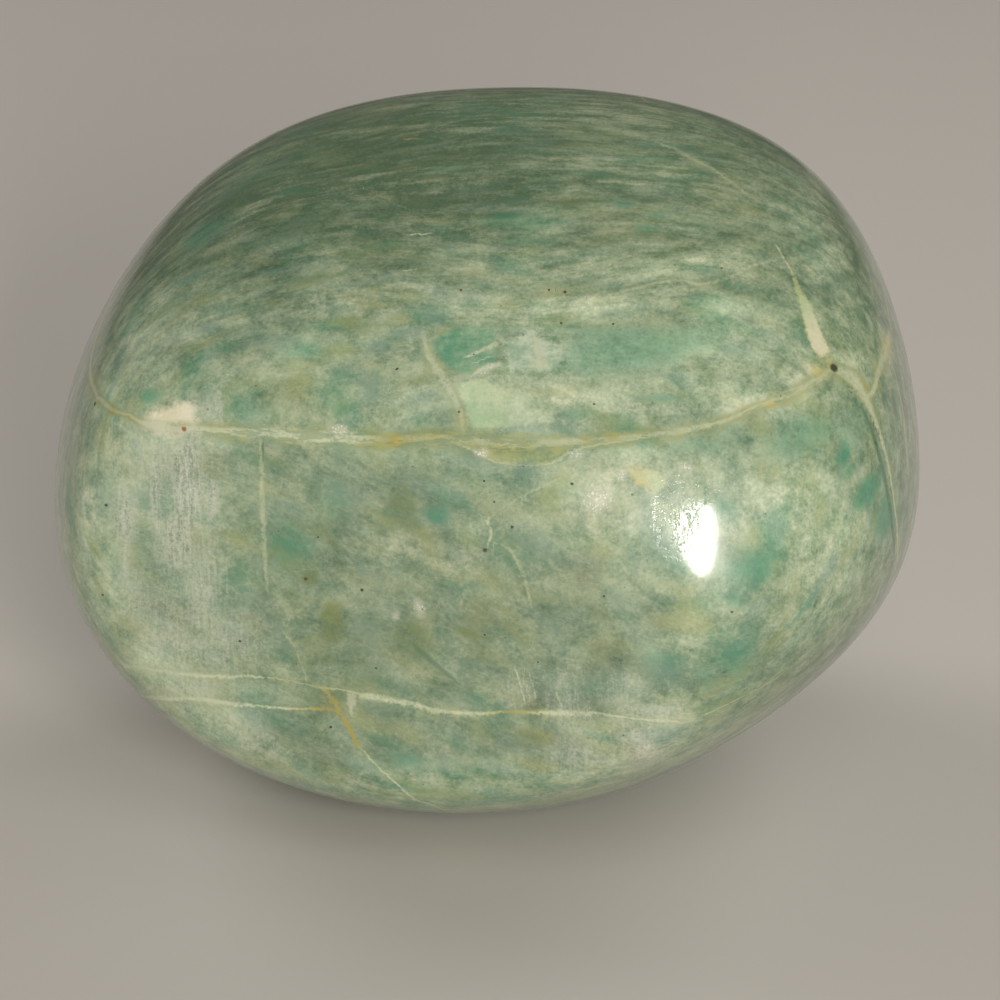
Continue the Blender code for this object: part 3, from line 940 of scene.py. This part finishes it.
window_depth = (WINDOW[2] - LAST_PASS - (skin - CENTRE) @ outward(*WINDOW[:2])) * MM
on_window = np.clip(1 - window_depth / WINDOW_RIM_MM, 0, 1)
note_down({
    "greener": layered_swell(SWELL_DRAW + 3),
    "cooler": layered_swell(SWELL_DRAW + 4),
    "window's rim": 4 * on_window * (1 - on_window),
    "sway": swell(*SWAY_LONG, SWELL_DRAW),
    "blueness": swell(*BLUE_LONG, SWELL_DRAW + 1),
    "window": on_window,
}, {
    "hues": ("greener", "cooler", "window's rim"),
    "swells": ("sway", "blueness", "window"),
})
print("swells run from", values["swells"].min(axis=0), "to", values["swells"].max(axis=0))

# %% [markdown]
# ## The skin
#
# Now the skin becomes a mesh. Adding its points one at a time would be slow, so all of them go
# in at once, and each set of notes becomes an attribute, three numbers at every point. Smooth
# shading is enough for the polish, because the grid is far finer than the roundness.

# %% The stone's mesh, with its notes for the finish
def skin_mesh():
    """The closed skin of quads, smooth-shaded, with each set of values as a vector attribute."""
    mesh = bpy.data.meshes.new("polished_lump")
    mesh.from_pydata(skin, [], quads)
    for name, rows in values.items():
        layer = mesh.attributes.new(name, "FLOAT_VECTOR", "POINT")
        layer.data.foreach_set("vector", np.ascontiguousarray(rows, np.float32).ravel())
    mesh.shade_smooth()
    return mesh


stone = bpy.data.objects.new("polished_lump", skin_mesh())
bpy.context.scene.collection.objects.link(stone)
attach(stone, "root")
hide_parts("stone")
print("stone:", len(stone.data.polygons), "faces")

# %% [markdown]
# ## Words for the finish
#
# The finish is a chain of small nodes. Written out one by one they would hide the idea, so a few
# short words put a node down and hand its output on: a noise, a soft step, a blend.

# %% The words
finish = bpy.data.materials.new("polished_feldspar")
finish.use_nodes = True
tree = finish.node_tree


def put(kind, inputs, out=0, **settings):
    """Adds a node, sets or links its inputs, and gives back one of its outputs."""
    node = tree.nodes.new(kind)
    for name, value in settings.items():
        setattr(node, name, value)
    for key, value in inputs.items():
        if isinstance(value, bpy.types.NodeSocket):
            tree.links.new(value, node.inputs[key])
        elif value is not None:
            node.inputs[key].default_value = value
    return node.outputs[out]


def sums(operation, first, second=None, third=None):
    """One step of arithmetic on up to three numbers."""
    return put("ShaderNodeMath", {0: first, 1: second, 2: third}, operation=operation)


def add(a, b):
    """a plus b."""
    return sums("ADD", a, b)


def times(a, b):
    """a times b."""
    return sums("MULTIPLY", a, b)


def most(a, b):
    """The larger of a and b."""
    return sums("MAXIMUM", a, b)


def weighted(*shares):
    """Sum of values, each times its own weight."""
    total = times(*shares[-1])
    for share in shares[-2::-1]:
        total = add(times(*share), total)
    return total


def rest(value):
    """What is left of 1: 1 minus the value."""
    return sums("SUBTRACT", 1.0, value)


def centred(value):
    """Centres a 0 to 1 noise on 0: the value minus a half."""
    return sums("SUBTRACT", value, 0.5)


def step(value, low, high, start=0.0, end=1.0):
    """start below low, end above high, an S between them; with low over high it runs back."""
    if isinstance(low, float) and isinstance(high, float) and low > high:
        return rest(step(value, high, low))
    return put(
        "ShaderNodeMapRange", {0: value, 1: low, 2: high, 3: start, 4: end},
        interpolation_type="SMOOTHSTEP",
    )


def blend(amount, first, second):
    """The first colour where the amount is 0, the second where it is 1, a mix between."""
    return put("ShaderNodeMix", {0: amount, 6: first, 7: second}, out=2, data_type="RGBA")


def vectors(operation, first, second, out=0):
    """One step of arithmetic on two places or colours, number by number."""
    return put("ShaderNodeVectorMath", {0: first, 1: second}, out=out, operation=operation)


def along(at, direction):
    """How far a place lies in a direction: their dot product."""
    return vectors("DOT_PRODUCT", at, tuple(direction), out=1)


def vector(x, y, z):
    """Three numbers as one place."""
    return put("ShaderNodeCombineXYZ", {0: x, 1: y, 2: z})


def noise(at, scale=1.0, detail=2.0, roughness=0.5):
    """Layered random hills, 0 to 1: scale is hills per unit, and detail adds ever finer ones."""
    return put(
        "ShaderNodeTexNoise",
        {"Vector": at, "Scale": scale, "Detail": detail, "Roughness": roughness},
    )


def note(name):
    """The place or the three numbers that the skin carries under a name, still as one."""
    return put("ShaderNodeAttribute", {}, out=1, attribute_name=name)


def notes(name):
    """The three numbers that the skin carries under a name, one by one."""
    found = note(name)
    return [put("ShaderNodeSeparateXYZ", {0: found}, out=part) for part in range(3)]


def colour(red, green, blue):
    """A display colour of 0 to 255 as the linear colour that the shader wants (the sRGB curve)."""
    return tuple(
        (c / 12.92 if c <= 0.04045 else ((c + 0.055) / 1.055) ** 2.4)
        for c in (red / 255, green / 255, blue / 255)
    ) + (1.0,)


print("mid green, as the shader wants it:", colour(138, 158, 128))

# %% [markdown]
# ## The layers
#
# Amazonite is two feldspars, one green and one white, that parted into thin layers while it
# cooled. The dome cuts across the layers and shows dashes. The window lies nearly along them, so
# it shows soft clouds. One noise, squeezed along the layers' normal, gives both at once. A second
# one with no direction gives the mottling that is there everywhere, and a third the fine grain.

# %% The noises, all in millimetres
SWAY_MM = 0.7
DUST_PER_MM = 7.0
place = put("ShaderNodeTexCoord", {}, out=3)
at_mm = vectors("MULTIPLY", place, (MM, MM, MM))
x_mm, z_mm = along(at_mm, SIDE), along(at_mm, (0.0, 0.0, 1.0))
sway, blueness, window_mask = notes("swells")
u, v = along(at_mm, LEVEL), along(at_mm, STEEP)
w_bent = add(along(at_mm, THROUGH), times(sway, SWAY_MM))


def layered(flat, deep):
    """Place in the layers: flat is waves per mm within a layer, deep is waves per mm through."""
    return vector(times(u, flat), times(v, flat), times(w_bent, deep))


streaks = centred(noise(layered(flat=0.18, deep=1.25), detail=3.8, roughness=0.68))
blots = centred(noise(at_mm, scale=0.42, detail=4.0, roughness=0.72))
fine = centred(noise(at_mm, scale=2.6, detail=1.0, roughness=0.9))
cells = put("ShaderNodeTexVoronoi", {"Vector": at_mm, "Scale": DUST_PER_MM}, out=1)
speckle = centred(put("ShaderNodeSeparateColor", {0: cells}))
print("the noises take", len(tree.nodes), "nodes")

# %% [markdown]
# ## Body colour
#
# A tone and a tint follow the layers. The tone runs from dark to pale green, and it swings more
# behind the window than on it. The tint leans to blue-green or straw, and to yellow or blue, and
# it is livelier on the front. The window itself is greyer with a lighter rim. The stone behind it
# is darker, partly its own darker streaks and partly painted shade where the dome turns away from
# the lamp, and browner, which is a painted brown reflection. Where one more mix of the two noises
# crosses zero it leaves thin pale threads, like the veils in the real stone.

# %% Its paints
PALE = colour(188, 200, 170)
MID = colour(138, 158, 128)
DEEP = colour(74, 110, 82)
SLATE = colour(100, 128, 106)
YELLOWED = colour(148, 157, 105)
BLUED = colour(120, 150, 134)
STRAW = colour(178, 184, 146)
TEAL = colour(74, 138, 108)
OLIVE = colour(116, 132, 80)
MILKY = colour(188, 197, 168)
GREYED = colour(126, 138, 112)
# Painted reflection: the brown that the dome behind the window takes on, as if it mirrored a brown
# backdrop.
BROWN_REFLECTION = colour(146, 136, 104)
QUARTZ = colour(198, 207, 174)
AMBER = colour(170, 154, 66)
OCHRE = colour(162, 165, 106)
PINKISH = colour(220, 218, 198)

# %% What the skin has noted for it
teal_stain, deep_stain, olive_stain = notes("stains")
milky, flaked, sparkle = notes("hazes")
ochre_stain, zone_and_painted_light, scuffed = notes("rusts_and_light")
greener, cooler, window_rim = notes("hues")

# %% The pattern: a share of it is streaks, and the rest is blots
# From the window's plane (mm from the origin) to well behind it, and from the right rim leftwards.
FRONT_MM, REAR_MM = 30.0, 8.0
RIM_MM, LEFT_MM = 36.0, 12.0
behind = step(along(at_mm, outward(*WINDOW[:2])), FRONT_MM, REAR_MM)
left_of_rim = step(x_mm, RIM_MM, LEFT_MM)


def deeper(front, more):
    """A number that is front on the window and front + more well behind it."""
    return add(front, times(behind, more))


directed = add(0.25, times(left_of_rim, deeper(0.1, 0.4)))
pattern = weighted((streaks, directed), (blots, rest(directed)))
crossed = sums("SUBTRACT", times(blots, directed), times(streaks, rest(directed)))

# %% The tone
PATTERN_SWING, GRAIN_SWING = (2.4, 0.8), (0.5, 0.1)
ZONE_AND_LIGHT_LIFT, BEHIND_DARKER_AND_SHADED, WINDOW_LIFT = 0.14, -0.36, -0.1
MIDDLE_TONE = 0.45
TO_PALE, TO_DEEP = (0.25, 1.05), (0.5, -0.25)
tone = weighted((pattern, deeper(*PATTERN_SWING)), (fine, deeper(*GRAIN_SWING)))
# Painted light and shade, partly the stone's own paler and darker zones, lift or lower the tone.
tone = add(tone, times(zone_and_painted_light, ZONE_AND_LIGHT_LIFT))
# Darker behind the window: partly the stone's own darker streaks, partly painted shade where the
# dome turns away from the key lamp.
tone = add(tone, add(
    times(behind, BEHIND_DARKER_AND_SHADED), add(MIDDLE_TONE, times(window_mask, WINDOW_LIFT))
))
body = blend(step(tone, *TO_PALE), MID, PALE)
body = blend(step(tone, *TO_DEEP), body, DEEP)

# %% The tints
TINT_RANGE = 0.7
GREYED_SHARE, BROWN_REFLECTION_SHARE = 0.2, 0.14
hue = weighted((greener, 0.3), (blueness, 0.12), (pattern, -1.1))
warmth = weighted((cooler, 0.3), (crossed, 1.8))
vivid = deeper(0.65, -0.4)
for wave, full, paint, share in (
    (hue, TINT_RANGE, TEAL, deeper(0.6, -0.15)),
    (hue, -TINT_RANGE, STRAW, deeper(0.4, -0.15)),
    (warmth, TINT_RANGE, YELLOWED, vivid),
    (warmth, -TINT_RANGE, BLUED, vivid),
):
    body = blend(times(step(wave, 0.0, full), share), body, paint)
body = blend(times(window_mask, GREYED_SHARE), body, GREYED)
# Painted reflection: a brown tint over the stone behind the window.
body = blend(times(behind, BROWN_REFLECTION_SHARE), body, BROWN_REFLECTION)

# %% The veils: a zigzag of the crossed mix touches zero along thin threads
VEILS_APART, VEIL_WIDTH = 2.2, 0.07
VEIL_SHARE, RIM_SHARE = (0.16, -0.08), 0.2
veils = sums("PINGPONG", times(crossed, VEILS_APART), 0.5)
veiled = times(step(veils, VEIL_WIDTH, 0.0), deeper(*VEIL_SHARE))
body = blend(add(veiled, times(window_rim, RIM_SHARE)), body, PALE)
print("with the body colour there are", len(tree.nodes), "nodes")

# %% [markdown]
# ## Stains
#
# A soft oval alone would look sprayed on. Multiplied by the stone's own noises it gets a torn rim
# and gaps inside. And because half of a stain is the body's own pattern in the stain's colour, the
# layers go on through it.

# %% The stains, from milky to olive
# A stain is full where its oval times the tearing reaches this.
STAIN_FULL = 1.4
torn = add(1.0, weighted((streaks, 2.8), (blots, 2.3), (fine, 0.6)))


def stained(over, paint):
    """Half the paint itself, half the stone's own pattern multiplied by the paint over MID."""
    plain = paint if isinstance(paint, bpy.types.NodeSocket) else paint[:3]
    share = vectors("DIVIDE", plain, MID[:3])
    return blend(0.5, paint, vectors("MULTIPLY", over, share))


def cloud(stain, over, paint, amount):
    """A soft stain, torn by the stone's own grain so that its rim and its inside are ragged."""
    whole = step(times(stain, torn), 0.0, STAIN_FULL)
    return blend(times(whole, amount), over, stained(over, paint))


for stain, paint, amount in (
    (milky, MILKY, 0.65),
    (deep_stain, blend(window_mask, DEEP, SLATE), 0.8),
    (teal_stain, TEAL, 0.85),
    (olive_stain, OLIVE, 0.8),
):
    body = cloud(stain, body, paint, amount)

# %% [markdown]
# ## Patches
#
# A patch could be cut into the mesh, but its sides would then follow the grid. The depth inside
# its outline is smooth, so a soft step at zero gives a crisp side at any size, and a little noise
# added to the depth roughens it. Most patches mix a darker and a lighter paint by the pattern.

# %% How the patches are laid on, and what their two paints are mixed by
edge = weighted((blots, 1.2), (fine, 0.35))


def patch(depth, over, paint, amount, soft):
    """Lays a paint where the depth inside an outline, roughened by noise, is over zero."""
    return blend(times(step(add(depth, edge), 0.0, soft), amount), over, paint)


def place_mm(axis, *pixels):
    """Where pixels' rays meet the stone, along one axis (0 is X, 2 is Z), in mm."""
    return [float(spot[axis] * MM) for spot in on_stone(pixels)]


teal_in, white_in, mint_in = notes("facets")
cream_in, wedge_in, flag_in = notes("flags")
lens_in, band_in, fleck_in = notes("fills")
WEDGE_TOP, WEDGE_FOOT = place_mm(2, (797, 285), (820, 345))
FLECK_LEFT, FLECK_RIGHT = place_mm(0, (632, 480), (664, 480))
# The mint patch fades towards its right, between these places, give or take the last number.
MINT_END, MINT_FULL, MINT_RAGGED = 8.0, -2.0, 8.0
# The pattern parts a patch into its two paints over this range. The wedge's rim is in mm.
PARTING, WEDGE_RIM = (-0.12, 0.12), (0.15, 0.5)
lit = step(add(pattern, times(fine, 0.1)), *PARTING)
split = step(blots, *PARTING)
fading = step(add(x_mm, times(blots, MINT_RAGGED)), MINT_END, MINT_FULL)
broken = step(add(x_mm, weighted((fine, 1.2), (streaks, 4.0))), FLECK_LEFT, FLECK_RIGHT)
wedge_inside = blend(
    step(z_mm, WEDGE_TOP, WEDGE_FOOT), colour(170, 188, 142), colour(208, 204, 174)
)
wedge_paint = blend(step(add(wedge_in, edge), *WEDGE_RIM), colour(166, 176, 124), wedge_inside)
print("the wedge runs from", round(WEDGE_TOP, 1), "to", round(WEDGE_FOOT, 1), "mm up")
print("the fleck runs from", round(FLECK_LEFT, 1), "to", round(FLECK_RIGHT, 1), "mm across")

# %% The blue-green band, then the patches: depth, paint, how well it covers, softness in mm
BAND_TEARING, BAND_SIDES, BAND_COVER = 1.4, (-0.5, 1.8), 0.55
band = step(add(band_in, times(sums("SUBTRACT", torn, 1.0), BAND_TEARING)), *BAND_SIDES)
band_paint = blend(lit, colour(88, 142, 114), colour(128, 168, 138))
body = blend(times(band, BAND_COVER), body, band_paint)
for depth, paint, cover, soft in (
    (teal_in, blend(lit, colour(90, 148, 118), colour(140, 172, 138)), 0.85, 0.5),
    (white_in, blend(split, colour(152, 180, 152), colour(198, 208, 184)), 0.7, 0.5),
    (mint_in, blend(lit, colour(166, 192, 152), colour(192, 206, 168)), times(fading, 0.9), 0.5),
    (cream_in, blend(lit, colour(220, 214, 184), colour(232, 227, 200)), 0.92, 1.1),
    (wedge_in, wedge_paint, 0.85, 0.3),
    (flag_in, colour(196, 200, 176), 0.6, 0.4),
    (lens_in, blend(lit, colour(126, 148, 92), colour(180, 182, 130)), 0.65, 0.5),
    (fleck_in, blend(broken, colour(208, 200, 146), colour(196, 208, 164)), 0.65, 0.8),
):
    body = patch(depth, body, paint, cover, soft)

# %% Light and dark over all of it
BRIGHTNESS, WINDOW_DIMMER = 1.07, -0.04
# Painted light and shade, partly the stone's own zones, also brighten or darken the colour.
light_and_dark = add(BRIGHTNESS, weighted((fine, 0.2), (zone_and_painted_light, 0.12)))
light_and_dark = add(light_and_dark, times(window_mask, WINDOW_DIMMER))
body = put("ShaderNodeVectorMath", {0: body, "Scale": light_and_dark}, operation="SCALE")
print("with stains and patches there are", len(tree.nodes), "nodes")

# %% [markdown]
# ## Drawing the cracks
#
# A crack is pale where quartz filled it and yellow where clay did. Near it the number "across"
# runs through zero. A little noise added to it makes the line wander. Where the crack is braided,
# a noise stretched along it parts it into strands.

# %% The cracks
WANDER_SHARE, WANDER_LEAST = 0.5, 0.12
BRAIDED_WIDTH, PLAIN_WIDTH = 1.25, 0.95
# A line is whole within the first share of its half width, and gone beyond the second.
LINE_CORE, LINE_RIM = 0.3, 1.3
# Waves per mm of the strands, across the crack and along it, and the slice of noise they use.
STRANDS_ACROSS, STRANDS_ALONG, STRAND_SLICE = 1.9, 0.3, 7.0
# Strands part where their noise is under this. The lift keeps it over, where a line hardly braids.
STRAND_GAP, BRAID_LIFT = (0.46, 0.52), 0.2
BETWEEN_STRANDS, LEFT_BETWEEN = colour(122, 142, 96), 0.1
# Clay gathers at a line's rim: this much more ochre there than in its middle.
RIM_OCHRE, RIM_FROM, RIM_TO = 0.45, 0.15, 0.9
TO_CLAY = (0.2, 1.0)
# Ochre turns to amber over the first range. Under 0 it turns to the dark of a line without a halo.
TO_AMBER, TO_DARK, NO_HALO = (0.76, 0.86), (-0.3, -0.8), (-0.5, 0.0)
HALO_MM = 1.5
wander = weighted((blots, 1.6), (fine, 0.4))


def crack(name, over, braided, roaming):
    """Draws one set of lines over a colour, and gives back the colour and the lines' strength.

    The distance is "across" plus the wandering. A line is 1 minus a soft step of the distance
    over its ragged half width, times its strength. Its filling mixes quartz and clay by its
    ochre, and a wide, faint halo of the same stains the stone beside it."""
    across, run, half = notes("line_" + name)
    ochre, strength, braid = notes("look_" + name)
    roam = sums("MULTIPLY_ADD", half, WANDER_SHARE * roaming, WANDER_LEAST * roaming)
    off = add(across, times(wander, roam))
    distance = sums("ABSOLUTE", off)
    width = BRAIDED_WIDTH if braided else PLAIN_WIDTH
    thick = times(half, add(width, weighted((blots, 2.2), (fine, 0.9))))
    line = rest(step(distance, times(thick, LINE_CORE), times(thick, LINE_RIM)))
    if braided:
        at = vector(times(off, STRANDS_ACROSS), times(run, STRANDS_ALONG), STRAND_SLICE)
        strands = noise(at, detail=2.0, roughness=0.75)
        parted = step(add(strands, times(rest(braid), BRAID_LIFT)), *STRAND_GAP)
        between = times(times(line, strength), rest(parted))
        over = blend(times(between, add(0.4, times(fine, 1.2))), over, BETWEEN_STRANDS)
        line = times(line, sums("MULTIPLY_ADD", parted, 1 - LEFT_BETWEEN, LEFT_BETWEEN))
    mask = times(times(line, strength), add(0.8, weighted((blots, 2.2), (fine, 1.4))))
    rim = step(distance, times(half, RIM_FROM), times(half, RIM_TO), end=RIM_OCHRE)
    tint = step(add(add(ochre, rim), times(blots, 1.2)), *TO_CLAY)
    filled = blend(tint, QUARTZ, blend(step(ochre, *TO_AMBER), OCHRE, AMBER))
    filled = blend(step(ochre, *TO_DARK), filled, DEEP)
    halo = times(step(distance, HALO_MM, 0.0), strength)
    halo = times(halo, times(half, add(0.4, times(fine, 0.8))))
    over = blend(times(halo, step(ochre, *NO_HALO)), over, blend(tint, MILKY, OLIVE))
    return blend(mask, over, filled), mask


# How far each set's lines wander off their paths. Only the first set is braided.
ROAMING = {"a": 1.0, "b": 1.0, "c": 1.0, "d": 0.5}
masks = []
for name, roaming in ROAMING.items():
    body, mask = crack(name, body, name == "a", roaming)
    masks.append(mask)
lines = most(most(*masks[:2]), most(*masks[2:]))
print("with the cracks there are", len(tree.nodes), "nodes")

# %% [markdown]
# ## Flakes and sparkles
#
# On the left of the window the layers were bruised into fine upright flakes that scatter white,
# with small dark gaps between them. Here and there a bruise sparkles: a pinkish patch of its own
# colour, with white dots that are painted glints. Both are a threshold on a noise: the stronger
# the soft oval, the more of the noise gets over it. Ochre comes last, so that it stains the flakes
# and the crack as it does in the real stone.

# %% Flakes and sparkles
# Waves per mm of the flakes, across and up the window, and the slice of noise they use.
FLAKES_ACROSS, FLAKES_UP, FLAKE_SLICE = 2.8, 0.35, 3.0
# From where each one shows to where it is whole.
FLAKE_RANGE, BRUISE_RANGE, GLITTER_RANGE = (-0.1, 2.1), (0.6, 1.9), (0.3, 0.5)
FLAKE_HAZE, FLAKE = colour(188, 194, 174), colour(208, 212, 196)
PAINTED_GLINT = colour(242, 242, 230)
up_window = along(at_mm, np.cross(outward(*WINDOW[:2]), (-1.0, 0.0, 0.0)))
at = vector(times(x_mm, FLAKES_ACROSS), times(up_window, FLAKES_UP), FLAKE_SLICE)
upright = centred(noise(at, detail=2.5, roughness=0.75))
rough_grain = weighted((upright, 2.1), (fine, 1.1), (speckle, 0.4))
flakes = times(step(add(flaked, rough_grain), *FLAKE_RANGE), step(flaked, 0.0, 0.2))
bruised = step(times(flaked, rest(times(rough_grain, 1.6))), *BRUISE_RANGE)
# Painted glints: white dots in the colour where a bruise sparkles.
painted_glints = step(add(speckle, times(sparkle, 0.15)), *GLITTER_RANGE)
painted_glints = times(step(sparkle, 0.0, 0.6), painted_glints)
for amount, paint in (
    (times(flaked, 0.32), FLAKE_HAZE), (times(flakes, 0.7), FLAKE), (times(bruised, 0.4), DEEP),
    (times(sparkle, 0.6), PINKISH), (times(painted_glints, 0.6), PAINTED_GLINT),
):
    body = blend(amount, body, paint)
body = cloud(ochre_stain, body, OCHRE, 0.75)

# %% [markdown]
# ## Drawing the specks
#
# A speck could be a tiny ball pressed into the skin, but it was ground flat with the rest. The
# distance to the nearest speck's middle, with a little grain added, makes it a slightly ragged
# dot: dark in the middle, and gone beyond its radius.

# %% Specks
DARK = colour(40, 46, 34)
RUST = colour(160, 92, 32)
# A dot is whole within the first share of its radius, and gone beyond the second.
DOT_CORE, DOT_RIM = 0.6, 1.4
radius, rusty, darkness = notes("speck_look")
gap = vectors("DISTANCE", at_mm, note("speck_at"), out=1)
gap = add(gap, times(fine, 0.2))
dot = step(gap, times(radius, DOT_CORE), times(radius, DOT_RIM), start=darkness, end=0.0)
body = blend(dot, body, blend(rusty, DARK, RUST))

# %% [markdown]
# ## Polish
#
# A polished stone shines twice: a hard, clear glint from its glassy skin, and a wide soft
# glow from the fine scratches under it. A clear coat gives the glint, the base roughness the
# glow. The cracks are a touch duller, because they polish less well. Beside the glint the polish
# is scuffed, so upright scratches break the reflection up there.

# %% The shader
ROUGHNESS, DULLER_LINES = 0.34, 0.14
BUMP_SHARE, BUMP_HEIGHT = 0.25, 0.00003
SCRATCH_RANGE, SCRATCH_DEPTH = (0.03, 0.13), -5.0
scratches = times(scuffed, step(add(upright, times(fine, 0.9)), *SCRATCH_RANGE))
rough = add(ROUGHNESS, weighted((lines, DULLER_LINES), (fine, 0.1)))
relief = weighted((fine, 0.25), (scratches, SCRATCH_DEPTH))
bumps = put("ShaderNodeBump", {"Strength": BUMP_SHARE, "Distance": BUMP_HEIGHT, "Height": relief})
shader = tree.nodes["Principled BSDF"]
for socket, made in (
    ("Base Color", body), ("Roughness", rough), ("Normal", bumps), ("Coat Normal", bumps),
):
    tree.links.new(made, shader.inputs[socket])
shader.inputs["Specular IOR Level"].default_value = 0.45
shader.inputs["Coat Weight"].default_value = 0.75
shader.inputs["Coat Roughness"].default_value = 0.1
shader.inputs["Coat IOR"].default_value = 1.52
stone.data.materials.append(finish)
print("the finish has", len(tree.nodes), "nodes")

# %% [markdown]
# ## Floor and light
#
# A plain pale floor, and one soft oval lamp in front, a little to the right and leaning over: its
# mirror image is the glint beside the window. A wide fill at the upper right lights the right
# half, and two behind keep the back from going black.

# %% Floor
FLOOR_HALF = 2.0
FLOOR_COLOUR, FLOOR_ROUGHNESS = (0.62, 0.59, 0.55, 1), 0.8
grey = bpy.data.materials.new("pale_floor")
grey.use_nodes = True
floor_shader = grey.node_tree.nodes["Principled BSDF"]
floor_shader.inputs["Base Color"].default_value = FLOOR_COLOUR
floor_shader.inputs["Roughness"].default_value = FLOOR_ROUGHNESS
ground = bpy.data.meshes.new("floor")
corners = [(x * FLOOR_HALF, y * FLOOR_HALF, 0) for x, y in ((-1, -1), (1, -1), (1, 1), (-1, 1))]
ground.from_pydata(corners, [], [(0, 1, 2, 3)])
ground.materials.append(grey)
floor = bpy.data.objects.new("floor", ground)
bpy.context.scene.collection.objects.link(floor)
print("the floor is", 2 * FLOOR_HALF, "m wide")

# %% Lights: azimuth, elevation, distance, width and height in metres, watts, colour, roll
LAMPS = {
    "key": (10.0, 18.4, 0.6, 0.1, 0.31, 0.64, (1.0, 0.96, 0.9), -24),
    "upper right": (25, 50, 0.8, 0.6, 0.6, 0.24, (1.0, 0.98, 0.96), 0),
    "left rear": (-130, 30, 0.8, 0.5, 0.5, 0.55, (1.0, 0.98, 0.95), 0),
    "right rear": (130, 30, 0.8, 0.5, 0.5, 0.55, (1.0, 0.98, 0.95), 0),
}
SPREAD = 90
WORLD_COLOUR, WORLD_STRENGTH = (0.11, 0.1, 0.09, 1), 1.0


def soft_box(name, azimuth, elevation, distance, width, height, watts, tint, roll):
    """An oval lamp that looks at the stone's centre, rolled anticlockwise seen from behind."""
    lamp = bpy.data.lights.new(name, "AREA")
    lamp.shape = "ELLIPSE"
    lamp.size, lamp.size_y = width, height
    lamp.spread = math.radians(SPREAD)
    lamp.energy = watts
    lamp.color = tint
    box = bpy.data.objects.new(name, lamp)
    box.location = CENTRE + outward(azimuth, elevation) * distance
    looking = Matrix.Rotation(math.radians(azimuth), 4, "Z") @ Matrix.Rotation(
        math.radians(90 - elevation), 4, "X"
    ) @ Matrix.Rotation(math.radians(roll), 4, "Z")
    box.rotation_euler = looking.to_euler()
    bpy.context.scene.collection.objects.link(box)
    return box


for name, settings in LAMPS.items():
    # The fills light the stone but leave no glint of their own on it.
    soft_box(name, *settings).visible_glossy = name == "key"
world = bpy.data.worlds.new("studio")
world.use_nodes = True
backdrop = world.node_tree.nodes["Background"]
backdrop.inputs["Color"].default_value = WORLD_COLOUR
backdrop.inputs["Strength"].default_value = WORLD_STRENGTH
bpy.context.scene.world = world
bpy.context.scene.view_settings.view_transform = "Standard"
print(len(LAMPS), "lamps")
